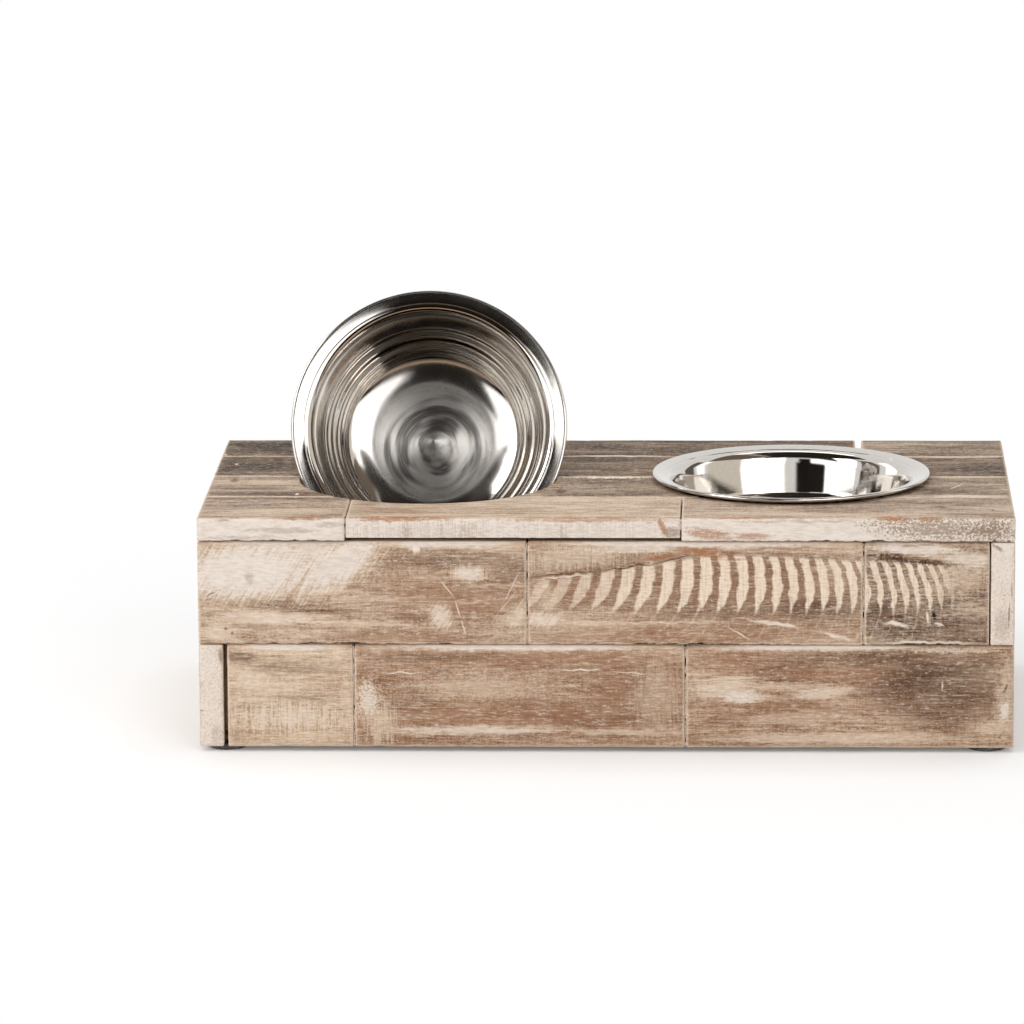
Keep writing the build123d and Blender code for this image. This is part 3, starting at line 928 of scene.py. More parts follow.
# %% Bare wood
TONE_SHARES = {
    "Figure": 0.46,
    "Cloud": 0.32,
    "Fibre": 0.74,
    "Pore": 0.92,
    "Hair": 0.50,
    "Saw": 0.34,
}
END_GRAIN = screen_colours((166, 134, 108), (226, 207, 188))


def wood_colour(recipe, wood, layers, streakiness):
    """The bare wood: three tones, picked by the layers of the grain. Also returns the pick."""
    tone = 0.5
    for name, share in TONE_SHARES.items():
        if name in ("Figure", "Fibre"):
            share *= streakiness
        tone = tone + (layers[name] - 0.5) * share
    dark, middle, light = screen_colours(*WOODS[wood])
    colour = recipe.mix(recipe.ease(tone, 0.36, 0.50), dark, middle)
    return recipe.mix(recipe.ease(tone, 0.50, 0.64), colour, light), tone


def end_grain_colour(recipe, point):
    """Sawn ends: bits of growth rings, pores and a fuzzy cut."""
    rings = recipe.noise(point, (0.40, 0.40, 0.14), detail=4, roughness=0.65, distortion=1.4)
    pores = recipe.noise(point, (1.6, 1.6, 1.6), detail=2, roughness=0.7)
    return recipe.mix(recipe.ease(rings + pores * 0.7, 0.68, 1.02), *END_GRAIN)


print("layers in the tone:", list(TONE_SHARES))

# %% Marks as masks
# The last paint is painted shade, for holes, cracks and seams that should look dark.
PAINTS = ("dark", "red", "wash", "stain", "rust", "hole")


def mark_mask(recipe, vector, brushes, row):
    """The mask of one mark over a face's own vector. Row is one mark of the tables."""
    x, y, half_x, half_y, turn, strength, ragged, brush = (*row, *MARK_DEFAULTS[len(row) - 4 :])
    plugs = {
        "Vector": vector,
        "Location": (x, y, 0),
        "Rotation": (0, 0, math.radians(turn)),
        "Scale": (half_x, half_y, 1),
        "Brush": brushes[brush],
        "Ragged": ragged,
        "Strength": strength,
    }
    return recipe.add("ShaderNodeGroup", plugs, node_tree=patch.tree)


def mark_masks(recipe, place, normals, brushes, wobble, face_marks):
    """For each paint, the masks of its marks on every face of the board."""
    found = {paint: [] for paint in PAINTS}
    for face, tables in face_marks.items():
        first, second = (place[axis] for axis in FACE_AXES[face])
        flat = recipe.combine(first, second + wobble, 0.0)
        mask = face_mask(recipe, normals, face)
        for paint, rows in tables.items():
            patches = [mark_mask(recipe, flat, brushes, row) for row in rows]
            found[paint].append(recipe.largest(patches) * mask)
    return found


print("paints:", PAINTS)

# %% [markdown]
# The crescents lie over the dark and red marks and under the brushed wash, and the wood between
# them is darkened first. Dirt settles less where any of this is pale.

# %% Crescents and wash as masks
wash_edge_start = 0.9
wash_edge_width = 1.3


def crescent_masks(recipe, place, normals, brushes, wobble):
    """Masks of the crescents and of the darker zone that they lie in."""
    x, z = place[0], place[2]
    arcs = saw_crescents(recipe, x + wobble, z, (brushes["across"] - 0.5) * 0.55)
    arcs = arcs * face_mask(recipe, normals, "front")
    arcs = arcs * recipe.ease(brushes["across"], 0.15, 0.65, 0.62, 0.98)
    arcs = arcs * recipe.ease(x, -30.0, 25.0, 0.55, 1.0)
    zone = recipe.ease(z, 66.0, 74.0) * recipe.ease(z, 94.0, 97.0, 1.0, 0.0)
    return arcs, zone * recipe.ease(x, 140.0, 175.0, 0.5, 0.0)


def wash_masks(recipe, normals, covers, brush, cloud, distance):
    """The worn wash all over, as thick as each face's cover says, and the wash on the edges."""
    cover = covers["rest"]
    for face in FACE_NORMALS:
        if face in covers:
            cover = recipe.blend(face_mask(recipe, normals, face), cover, covers[face])
    worn = recipe.ease(brush + cloud * 0.8 + cover, 0.95, 1.75)
    uneven = distance + brush * 1.2
    wash_edge_end = wash_edge_start + wash_edge_width
    return [worn, recipe.ease(uneven, wash_edge_start, wash_edge_end, 0.75, 0.0)]


print("the wash on edges ends", wash_edge_start + wash_edge_width, "mm from them")

# %% Board material
GRIT_TINT = (0.58, 0.47, 0.38, 1.0)
GRIT_LIGHT = screen_colour(244, 231, 216)
STAIN_TINT = (0.36, 0.27, 0.20, 1.0)
DARK_TINT = (0.42, 0.37, 0.33, 1.0)
RUST_TINTS = screen_colours((140, 88, 56), (196, 142, 100))
RED_TINTS = screen_colours((138, 98, 72), (182, 140, 110))
THIN_WASH = screen_colours((222, 198, 172), (242, 222, 198))
THICK_WASH = screen_colours((222, 205, 190), (248, 240, 231))
CRESCENT_WASH = screen_colours((236, 213, 190), (253, 235, 214))
CRESCENT_BOARDS = ("front_upper_middle_plank", "front_upper_right_plank")
seam_shade_width = 0.5


def board_material(name, grain_axis, wood, covers, face_marks, seed, streakiness):
    """The finish of one board. Covers holds how much wash each face has."""
    recipe = Finish(name)
    point = recipe.millimetres()
    place = recipe.split(point)
    normals = recipe.split(recipe.coordinate("Normal"))
    order = (0, 1, 2) if grain_axis == 0 else (1, 0, 2)
    shift = (seed * 137.1 % 900, seed * 71.7 % 500, seed * 39.3 % 300)
    along = recipe.vector("ADD", recipe.combine(*(place[axis] for axis in order)), shift)
    layers = recipe.wires("ShaderNodeGroup", {"Vector": along}, node_tree=grain.tree)
    pore = layers["Pore"]
    brushes = board_brushes(recipe, along, pore)
    distance = edge_distance(recipe, place, name)
    wobble = (recipe.noise(point, (0.16, 0.16, 0.16), detail=2) - 0.5) * 3.0
    found = mark_masks(recipe, place, normals, brushes, wobble, face_marks)
    brush = brushes["along"]
    found["wash"] += wash_masks(recipe, normals, covers, brush, layers["Cloud"], distance)
    masks = {paint: recipe.largest(parts) for paint, parts in found.items() if parts}
    wash = masks["wash"]
    pale = wash

    colour, tone = wood_colour(recipe, wood, layers, streakiness)
    is_end = recipe.ease(recipe.math("ABSOLUTE", normals[grain_axis]), 0.60, 0.80)
    colour = recipe.mix(is_end, colour, end_grain_colour(recipe, point))
    crescents = name in CRESCENT_BOARDS
    if crescents:
        arcs, zone = crescent_masks(recipe, place, normals, brushes, wobble)
        pale = recipe.largest([wash, arcs])
        colour = recipe.tint(zone, colour, STAIN_TINT)
    if "dark" in masks:
        colour = recipe.tint(masks["dark"], colour, DARK_TINT)
    if "red" in masks:
        colour = recipe.mix(masks["red"], colour, recipe.mix(tone, *RED_TINTS))
    if crescents:
        colour = recipe.mix(arcs, colour, recipe.mix(pore, *CRESCENT_WASH))
    thin_wash = recipe.mix(pore, *THIN_WASH)
    thick_wash = recipe.mix(pore, *THICK_WASH)
    wash_colour = recipe.mix(recipe.ease(wash, 0.55, 0.95), thin_wash, thick_wash)
    colour = recipe.mix(wash, colour, wash_colour)
    if "stain" in masks:
        colour = recipe.tint(masks["stain"], colour, STAIN_TINT)
    if "rust" in masks:
        colour = recipe.mix(masks["rust"], colour, recipe.mix(tone, *RUST_TINTS))
    # Painted shade over holes, cracks and seams comes last.
    if "hole" in masks:
        colour = recipe.mix(masks["hole"], colour, PAINTED_SHADE)

    grit = layers["Hair"] + pore * 0.8
    gritty = recipe.ease(grit, 0.82, 1.10, 0.0, 0.66) * recipe.blend(pale, 1.0, 0.40)
    colour = recipe.tint(gritty, colour, GRIT_TINT)
    colour = recipe.mix(recipe.ease(grit, 0.58, 0.86, 0.50, 0.0), colour, GRIT_LIGHT)
    # Painted shade: the outermost half millimetre of every edge is darkened with the stain tint, as
    # if the gaps between boards fell dark.
    colour = recipe.tint(recipe.ease(distance, 0.0, seam_shade_width, 0.95, 0.0), colour, STAIN_TINT)
    roughness = recipe.ease(wash, 0.0, 1.0, 0.60, 0.82)
    height = layers["Fibre"] * 0.5 + pore * 0.3 + layers["Saw"] * 0.2
    recipe.surface(colour, roughness, height, (0.7, 0.4), **{"Specular IOR Level": 0.12})
    return recipe.material


print("boards with crescents:", CRESCENT_BOARDS)

# %% [markdown]
# ## Boards with worn edges
# A node of the frame has sharp, perfectly straight edges. Real boards are a little rounded, dented
# and chipped. A copy of the node's mesh can be worn: its loose triangles are merged into faces, cut
# into a grid of small cells, and each point is then moved inwards. Points near an edge move most,
# and noise decides how much, so the edge becomes uneven. The front boards also lose a strip along
# their upper front edge, a small chamfer. Nothing moves outwards, so the board never grows into its
# neighbour.

# %% Wear
cell_along = 2.5
cell_across = 2.0
wear_depth = 0.30
wear_reach = 0.9
wear_size = 9.0
chip_depth = 0.55
chip_size = 2.6
wave_depth = 0.10
wave_size = 16.0
squeeze_along = 0.35
front_chamfer = 1.1
chamfer_reach = 1.9


def cut(bm, place, normal):
    """Cut the whole mesh by a plane."""
    geometry = bm.verts[:] + bm.edges[:] + bm.faces[:]
    bmesh.ops.bisect_plane(bm, geom=geometry, dist=1e-7, plane_co=place, plane_no=normal)


def cut_into_cells(bm, low, high, steps):
    """Cut the mesh by planes across each axis, one step apart."""
    for axis in range(3):
        count = int((high[axis] - low[axis]) / steps[axis])
        normal = Vector((0, 0, 0))
        normal[axis] = 1.0
        for number in range(1, count + 1):
            cut(bm, low.lerp(high, number / (count + 1)), normal)


def wear_at(point, low, high, grain_axis, seed, chamfer):
    """How far a point of a board is worn inwards, in metres."""
    gaps = sorted(min(point[axis] - low[axis], high[axis] - point[axis]) for axis in range(3))
    edge = gaps[1] / MM
    spot = point / MM
    spot[grain_axis] *= squeeze_along
    shift = Vector((seed * 17.3, seed * 5.1, seed * 9.7))
    uneven = 0.5 + 0.5 * noise.noise(spot / wear_size + shift)
    chips = max(0.0, noise.noise(spot / chip_size + shift) - 0.25) * 2
    waves = 0.5 + 0.5 * noise.noise(spot / wave_size - shift)
    near = math.exp(-edge / wear_reach)
    from_corner = max(high.z - point.z, point.y - low.y) / MM
    slope = chamfer * max(0.0, 1 - from_corner / chamfer_reach) * (0.7 + 0.6 * uneven)
    return (near * (wear_depth * uneven + chip_depth * chips) + slope + wave_depth * waves) * MM


def worn_board(name, grain_axis, seed, material, chamfer):
    """A worn copy of a board node, which stands in for it."""
    low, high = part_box(name)
    steps = [cell_across * MM] * 3
    steps[grain_axis] = cell_along * MM
    bm = bmesh.new()
    bm.from_mesh(frame["nodes"][name].data)
    bmesh.ops.remove_doubles(bm, verts=bm.verts, dist=0.01 * MM)
    bmesh.ops.dissolve_limit(bm, angle_limit=math.radians(1), verts=bm.verts, edges=bm.edges)
    cut_into_cells(bm, low, high, steps)
    bm.normal_update()
    moves = [-v.normal * wear_at(v.co, low, high, grain_axis, seed, chamfer) for v in bm.verts]
    for vertex, move in zip(bm.verts, moves):
        vertex.co += move
    board = new_object(name + "_worn", bm, material, smooth=True)
    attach(board, frame["nodes"][name]["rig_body"])
    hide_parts(name)
    return board


print("wear apart from chips and chamfer:", wear_depth + wave_depth, "mm")

# %% [markdown]
# ## Dress every board
# The boards are sorted by name so that each one always gets the same seed. Its outer face is the
# first word of its name, and lid boards look up. Boards of the sides run along Y and all the
# others along X. The grain of the lid is streakier, because its boards have weathered more.

# %% Which wood each board is
BOARD_WOODS = {
    "front_upper_left_plank": "tan",
    "front_upper_middle_plank": "tan",
    "front_upper_right_plank": "umber",
    "front_lower_left_plank": "straw",
    "front_lower_middle_plank": "brown",
    "front_lower_right_plank": "brown",
    "right_upper_plank": "tan",
    "left_lower_plank": "straw",
    "lid_front_left_slat": "sand",
    "lid_front_middle_slat": "cream",
    "lid_front_right_slat": "sand",
    "lid_third_left_slat": "sand",
    "lid_third_middle_slat": "driftwood",
    "lid_third_right_slat": "driftwood",
    "lid_second_left_slat": "dusk",
    "lid_second_middle_slat": "dusk",
    "lid_second_right_slat": "dusk",
    "lid_back_left_slat": "dusk",
    "lid_back_right_slat": "driftwood",
}
OTHER_WOODS = ("tan", "brown", "straw", "umber", "brown", "tan")
board_names = sorted(name for name in frame["nodes"] if name.endswith(("_plank", "_slat")))
print("boards:", len(board_names))

# %% Make the boards


def marks_of(name, side, seed, low, high):
    """The marks of each face of a board. Upper boards in front get a painted shadow line at their
    foot.
    """
    face_marks = {}
    if side not in ("lid", "front"):
        first, second = FACE_AXES[side]
        span = (low[first], high[first])
        face_marks[side] = dealt_marks(seed, span, (low[second], high[second]))
    for face in ("front", "top"):
        if (name, face) in marks:
            face_marks[face] = dict(marks[name, face])
    # Painted shadow: a dark line along the seam at the foot of these boards, where the gap below
    # them falls dark.
    if name.startswith(("front_upper", "lid_front")):
        half_length = (high.x - low.x) / 2
        gap = ((low.x + high.x) / 2, low.z + 0.1, 1.2 * half_length, 0.8, 0, 0.95, 0.6)
        face_marks["front"]["hole"] = face_marks["front"].get("hole", []) + [gap]
    return face_marks


triangles = 0
for seed, name in enumerate(board_names, start=1):
    low, high = (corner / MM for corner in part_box(name))
    side = name.split("_")[0]
    grain_axis = 1 if side in ("left", "right") else 0
    wood = BOARD_WOODS.get(name, OTHER_WOODS[seed % len(OTHER_WOODS)])
    if side == "lid":
        covers = {"rest": 0.55, "top": 0.10, "front": 1.10, "back": 0.55}
    else:
        covers = {"rest": 0.62, side: 0.12, "front": 0.12 if side == "front" else 0.80}
    streakiness = 1.55 if side == "lid" else 1.1
    face_marks = marks_of(name, side, seed, low, high)
    material = board_material(name, grain_axis, wood, covers, face_marks, seed, streakiness)
    chamfer = front_chamfer if name.startswith("front") else 0.0
    board = worn_board(name, grain_axis, seed, material, chamfer)
    "lid_slats" if side == "lid" else "wall_planks"
    triangles += sum(len(face.vertices) - 2 for face in board.data.polygons)
print("worn boards:", len(board_names), "with", triangles, "triangles")

# %% [markdown]
# ## Crumbs in the joints
# Where two boards meet end to end, the saw left fuzz and the wash ran in, so the joint isn't one
# even dark line: crumbs fill it here and there. Each joint at the front gets a thin strip that is
# cut into short lengths, and noise decides which lengths stay nearly flush and which sink into the
# gap. The lid's joints are cleaner, so their crumbs lie deeper.

# %% Pieces that ride on a body


def finished_piece(name, bm, body, material, stands_for=(), smooth=False):
    """Turn a bmesh into a piece that rides on a body."""
    piece = new_object(name, bm, material, smooth)
    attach(piece, body)
    if stands_for:
        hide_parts(*stands_for)
    return piece


# %% Joint crumbs
joint_width = 0.5
strip_depth = 4.0
strip_start = 0.5
strip_margin = 1.2
crumb_step = 0.7
crumb_size = 4.6
fuzz_size = 1.4
crumb_swing = 5.0
least_sink = 0.12
deepest_sink = 3.2
sunk_in_lid = 1.2
sunk_in_box = -0.4


def joint_crumbs(left_board, body, material, seed, sunk):
    """Crumbs in the joint between a board and the next one on its right."""
    low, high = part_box(left_board)
    strip_middle = low.y + (strip_start + strip_depth / 2) * MM
    middle = Vector((high.x + joint_width * MM / 2, strip_middle, (low.z + high.z) / 2))
    size = Vector((joint_width * MM, strip_depth * MM, high.z - low.z - strip_margin * MM))
    bm = bmesh.new()
    bmesh.ops.create_cube(bm, size=1.0)
    bmesh.ops.scale(bm, vec=size, verts=bm.verts)
    bmesh.ops.translate(bm, vec=middle, verts=bm.verts)
    count = int(size.z / (crumb_step * MM))
    for number in range(1, count):
        cut(bm, Vector((0, 0, middle.z - size.z / 2 + size.z * number / count)), (0, 0, 1))
    for vertex in bm.verts:
        if vertex.co.y < middle.y:
            here = noise.noise(Vector((seed * 7.7, 0, vertex.co.z / MM / crumb_size)))
            here += 0.5 * noise.noise(Vector((seed * 3.1, 5, vertex.co.z / MM / fuzz_size)))
            sink = sunk + here * crumb_swing
            vertex.co.y += min(deepest_sink, max(least_sink, sink)) * MM
    return finished_piece(left_board + "_crumbs", bm, body, material)


CRUMB_COLOURS = screen_colours((150, 118, 92), (236, 216, 194))
crumb_finish = Finish("crumbs")
point = crumb_finish.millimetres()
crumbs = crumb_finish.noise(point, (2.0, 2.0, 1.4), detail=3, roughness=0.7)
# Painted shade: crumbs that sink deeper into the gap turn to the dark of a hole.
painted_gap_shade = crumb_finish.ease(crumb_finish.split(point)[1], -94.4, -92.8)
crumb_colour = crumb_finish.mix(crumb_finish.ease(crumbs, 0.35, 0.65), *CRUMB_COLOURS)
crumb_finish.surface(crumb_finish.mix(painted_gap_shade, crumb_colour, PAINTED_SHADE), 0.85, crumbs, (0.6, 0.3))

KINDS = {"box": ("wall_planks", sunk_in_box), "lid": ("lid_slats", sunk_in_lid)}
JOINTS = {
    "front_lower_left_plank": "box",
    "front_lower_middle_plank": "box",
    "front_upper_left_plank": "box",
    "front_upper_middle_plank": "box",
    "lid_front_left_slat": "lid",
    "lid_front_middle_slat": "lid",
}
for seed, (left_board, body) in enumerate(JOINTS.items()):
    slot_name, sunk = KINDS[body]
    joint_crumbs(left_board, body, crumb_finish.material, seed, sunk)
print("joints with crumbs:", len(JOINTS))

# %% [markdown]
# ## Plywood inside
# The boards are glued to a plain box of plywood, and the lid's slats to a plywood board. Those
# nodes already have the right shape, so they stay and only get a material. Plywood shows a calm
# figure on its faces and thin layers on its edges: every other layer is cut across its grain and
# looks darker. A ping-pong of the place through the thickness draws the layers.

# %% Plywood
ply_thickness = 1.2
PLY_FACE = screen_colours((186, 153, 114), (214, 186, 148))
PLY_LAYERS = screen_colours((160, 123, 87), (216, 190, 154))
GLUE = screen_colour(108, 77, 52)


def plywood_material(name, thin_axis, grain_axis):
    """Plywood whose layers lie across the thin axis."""
    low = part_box(name)[0] / MM
    recipe = Finish("plywood_" + name)
    point = recipe.millimetres()
    place = recipe.split(point)
    other_axis = 3 - thin_axis - grain_axis
    along = recipe.combine(place[grain_axis], place[other_axis], place[thin_axis] * 0.3)
    figure = recipe.noise(along, (0.006, 0.05, 0.05), detail=3, distortion=1.5)
    fibre = recipe.noise(along, (0.09, 1.6, 1.6), detail=3, roughness=0.65)
    pores = recipe.noise(along, (0.5, 2.6, 2.6), detail=2, roughness=0.7)
    face = recipe.mix(recipe.ease(figure * 0.8 + fibre * 0.5, 0.45, 0.85), *PLY_FACE)

    depth = place[thin_axis] - low[thin_axis]
    layer = recipe.math("PINGPONG", depth, ply_thickness)
    odd = recipe.math("PINGPONG", depth + ply_thickness / 2, ply_thickness * 2)
    odd = recipe.ease(odd, ply_thickness * 0.9, ply_thickness * 1.1)
    plies = recipe.mix(odd, *PLY_LAYERS)
    plies = recipe.mix(recipe.ease(layer, 0.05, 0.22, 0.8, 0.0), plies, GLUE)
    rough_cut = recipe.noise(point, (1.8, 1.8, 1.8), detail=3, roughness=0.7)
    plies = recipe.tint(recipe.ease(rough_cut, 0.45, 0.75, 0.0, 0.45), plies, STAIN_TINT)
    flat = recipe.math("ABSOLUTE", recipe.split(recipe.coordinate("Normal"))[thin_axis])
    colour = recipe.mix(recipe.ease(flat, 0.5, 0.8), plies, face)
    roughness = recipe.ease(pores, 0.3, 0.7, 0.62, 0.78)
    height = fibre * 0.6 + pores * 0.4
    recipe.surface(colour, roughness, height, (0.5, 0.2), **{"Specular IOR Level": 0.25})
    return recipe.material


def paint_node(name, material):
    """Put a material on a node that stays as it is."""
    for slot in frame["nodes"][name].material_slots:
        slot.material = material


PLYWOOD = {
    "floor_panel": (2, 0),
    "liner_front_panel": (1, 0),
    "liner_back_panel": (1, 0),
    "liner_left_panel": (0, 1),
    "liner_right_panel": (0, 1),
    "lid_base_board": (2, 0),
}
for name, (thin_axis, grain_axis) in PLYWOOD.items():
    paint_node(name, plywood_material(name, thin_axis, grain_axis))
print("plywood nodes:", len(PLYWOOD))

# %% [markdown]
# ## The bowls
# A steel bowl is spun: a flat disc is pressed over a turning form. Its wall goes up in small steps,
# flares out near the top, and ends in a narrow flange whose edge is curled down and in. Spin does
# the same in Blender: half of the section is drawn as a line, its corners are rounded with a vertex
# bevel, and the line is turned about the axis. The surface then gets its thickness. It is made
# upright at the world's middle. There, each point remembers its place and the way round the axis
# in attributes, so that the finish can follow the shape after the bowl is tilted into its place.

# %% Section of a bowl
section_lift = 2.0
sheet = 0.8
curl_radius = 1.0
curl_ring = 65.5
rim_drop = 0.8
BOWL_FLOOR = [(0.0, -46.0), (10.0, -46.0), (20.0, -46.0), (27.0, -46.0)]
BOWL_WALL = [
    (35.2, -46.0, 6.6),
    (41.4, -42.2, 0.5),
    (42.8, -34.6, 0.8),
    (44.6, -33.2, 0.9),
    (46.0, -29.8, 1.0),
    (48.6, -27.8, 1.0),
    (50.4, -23.6, 0.8),
    (52.0, -22.4, 0.8),
    (55.3, -7.4, 2.2),
    (56.6, -4.3, 1.5),
    (58.8, -2.6, 0.9),
    (60.05, -2.35, 0.15),
    (60.4, -1.95, 0.15),
    (62.6, -1.35, 1.0),
]
curl_turns = [math.radians(90 - 20 * step) for step in range(10)]
BOWL_CURL = [
    (curl_ring + curl_radius * math.cos(turn), curl_radius * (math.sin(turn) - 1) - rim_drop)
    for turn in curl_turns
]
BOWL_SEAT = [(64.5, -3.2), (63.5, -3.7), (63.0, -3.95)]
print("points in the section:", len(BOWL_FLOOR + BOWL_WALL + BOWL_CURL + BOWL_SEAT))

# %% Spin a bowl
bowl_turns = 160
longest_piece = 1.2
bevel_settings = {"affect": "VERTICES", "profile": 0.5, "material": -1}


def draw_line(bm, section):
    """A line of edges through points that are given by their radius and height, in metres."""
    points = [bm.verts.new((r, 0, z)) for r, z in section]
    for pair in zip(points, points[1:]):
        bm.edges.new(pair)
    return points


def spin_line(bm, steps):
    """Turn the line that is drawn in the mesh about the Z axis."""
    line = bm.verts[:] + bm.edges[:]
    turn = {"cent": (0, 0, 0), "axis": (0, 0, 1), "angle": math.tau, "steps": steps}
    bmesh.ops.spin(bm, geom=line, use_merge=True, **turn)
    bmesh.ops.remove_doubles(bm, verts=bm.verts, dist=0.005 * MM)
    bmesh.ops.recalc_face_normals(bm, faces=bm.faces)


def draw_bowl(bm):
    """The section as a line, its corners rounded and its long edges divided."""
    corners = [(r, z) for r, z, rounding in BOWL_WALL]
    section = BOWL_FLOOR + corners + BOWL_CURL + BOWL_SEAT
    points = draw_line(bm, [(r * MM, (z + section_lift) * MM) for r, z in section])
    wall_points = points[len(BOWL_FLOOR) : len(BOWL_FLOOR) + len(BOWL_WALL)]
    for point, (r, z, rounding) in zip(wall_points, BOWL_WALL):
        segments = 14 if rounding > 2 else 4
        settings = {"segments": segments, **bevel_settings}
        bmesh.ops.bevel(bm, geom=[point], offset=rounding * MM, **settings)
    for edge in list(bm.edges):
        cuts = int(edge.calc_length() / (longest_piece * MM))
        if cuts:
            bmesh.ops.subdivide_edges(bm, edges=[edge], cuts=cuts)


def spun_bowl(name, place, tilt, material):
    """A bowl in place of the node of that name. Place is where the section's zero goes."""
    bm = bmesh.new()
    draw_bowl(bm)
    spin_line(bm, bowl_turns)
    bm.faces.ensure_lookup_table()
    middle = min(bm.faces, key=lambda face: face.calc_center_median().xy.length)
    if middle.normal.z < 0:
        bmesh.ops.reverse_faces(bm, faces=bm.faces)
    bmesh.ops.solidify(bm, geom=bm.faces[:], thickness=sheet * MM)
    lathe = bm.verts.layers.float_vector.new("lathe_place")
    around = bm.verts.layers.float_vector.new("lathe_way")
    lean = Matrix.Rotation(tilt, 4, "X")
    for vertex in bm.verts:
        vertex[lathe] = vertex.co
        way = Vector((-vertex.co.y, vertex.co.x, 0))
        vertex[around] = lean @ way.normalized() if way.length > 1e-6 else Vector((1, 0, 0))
    bmesh.ops.transform(bm, matrix=Matrix.Translation(place) @ lean, verts=bm.verts)
    return finished_piece(name + "_spun", bm, name, material, [name], smooth=True)


print("sheet:", sheet, "mm thick")

# %% [markdown]
# ## Steel that was turned on a lathe
# The wall is polished and shows the room in stretched bands, and the well below its steps is a
# little duller. The floor of the bowl is brushed in a swirl, which smears reflections across the
# brushing: that is what anisotropy does, and its tangent is the way round the axis. Noise that
# follows the swirl's circles paints reflections into the colour: dark sweeps of painted shade and
# pale streaks of painted highlight. The swirl's middle is a little off the bowl's own. Fine rings
# in the bump and in the roughness break up the mirror.

# %% Bowl steel
STEEL = screen_colours((196, 191, 185), (212, 207, 201))
# Painted reflection colours for the bowl's floor: a dark one for painted shade and a pale one for
# painted highlight.
PAINTED_SWIRL_SHADE = screen_colour(88, 85, 82)
PAINTED_SWIRL_GLINT = screen_colour(230, 227, 222)
swirl_middle = (2.0, -4.0)

turned = Finish("turned_steel")
attribute = "ShaderNodeAttribute"
lathe_place = turned.add(attribute, {}, "Vector", attribute_name="lathe_place")
lathe_way = turned.add(attribute, {}, "Vector", attribute_name="lathe_way")
x, y, z = turned.split(turned.vector("MULTIPLY", lathe_place, (1000, 1000, 1000)))
radius = turned.length(turned.combine(x, y, 0.0))
way_round = turned.math("ABSOLUTE", turned.math("ARCTAN2", y, x))
ring_place = turned.combine(radius, z, way_round)
rings = turned.noise(ring_place, (3.2, 3.2, 0.5), detail=3, roughness=0.7)
smudges = turned.noise(turned.combine(x, y, z), (0.07, 0.07, 0.07), detail=3)
scuffs = turned.noise(turned.combine(x, y, z), (0.5, 0.5, 0.5), detail=3, roughness=0.7)
on_floor = turned.ease(radius, 23.0, 33.0, 1.0, 0.0)
in_well = turned.ease(radius, 36.0, 42.0, 1.0, 0.0)
on_flange = turned.ease(radius, 61.0, 63.0)

swirl_x = x - swirl_middle[0]
swirl_y = y - swirl_middle[1]
swirl_radius = turned.length(turned.combine(swirl_x, swirl_y, 0.0))
swirl_place = turned.combine(swirl_radius, swirl_x / swirl_radius, swirl_y / swirl_radius)
# Painted reflection: dark sweeps of painted shade and pale streaks of painted highlight in the
# floor's colour, along the swirl.
painted_shade_sweeps = turned.noise(swirl_place, (0.17, 0.6, 0.6), detail=2, roughness=0.5)
scratches = turned.noise(swirl_place, (2.2, 1.0, 1.0), detail=3, roughness=0.7)
shade = on_floor * turned.ease(painted_shade_sweeps, 0.40, 0.62, 0.0, 0.90)
shade = shade * turned.ease(swirl_radius, 2.0, 9.0, 0.35, 1.0)
shine = on_floor * turned.ease(scratches, 0.50, 0.75, 0.0, 0.40)
steel = turned.mix(shade, turned.mix(scuffs, *STEEL), PAINTED_SWIRL_SHADE)
steel = turned.mix(shine, steel, PAINTED_SWIRL_GLINT)

rough = turned.blend(on_floor, turned.blend(in_well, 0.05, 0.13), 0.30)
rough = rough + (rings - 0.5) * turned.blend(on_floor, 0.03, 0.12)
rough = rough + on_flange * 0.08
rough = rough + turned.ease(smudges, 0.45, 0.75, 0.0, 0.06)
turned.surface(steel, turned.math("MAXIMUM", rough, 0.03), rings, (0.25, 0.03), Metallic=1.0)
anisotropy = {"Anisotropic": 0.75, "Anisotropic Rotation": 0.25, "Tangent": lathe_way}
turned.plug(turned.shader, anisotropy)
print("swirl round", swirl_middle, "mm from the bowl's middle")

# %% Make the bowls
left_tilt = math.radians(70)
left_place = Vector((-87.0, 8.484, 135.810)) * MM
right_place = Vector((87.0, 0.0, 114.8)) * MM
left_bowl = spun_bowl("left_bowl", left_place, left_tilt, turned.material)
right_bowl = spun_bowl("right_bowl", right_place, 0.0, turned.material)
for bowl, node in ((left_bowl, "left_bowl"), (right_bowl, "right_bowl")):
    low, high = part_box(node)
    corners = [vertex.co for vertex in bowl.data.vertices]
    reach = [max(co[axis] for co in corners) - high[axis] for axis in range(3)]
    over_by = [round(r / MM, 3) for r in reach]
    print(bowl.name, len(bowl.data.polygons), "faces, over the node by", over_by)

# %% [markdown]
# ## Hinges
# Two plain butt hinges hold the lid. They are rolled from zinc-plated sheet, so they are duller and
# bluer than the bowls, with fine scratches along the leaf. Their nodes have the right shape and
# stay. The screw heads are made again, because a screw without its cross looks like a rivet.

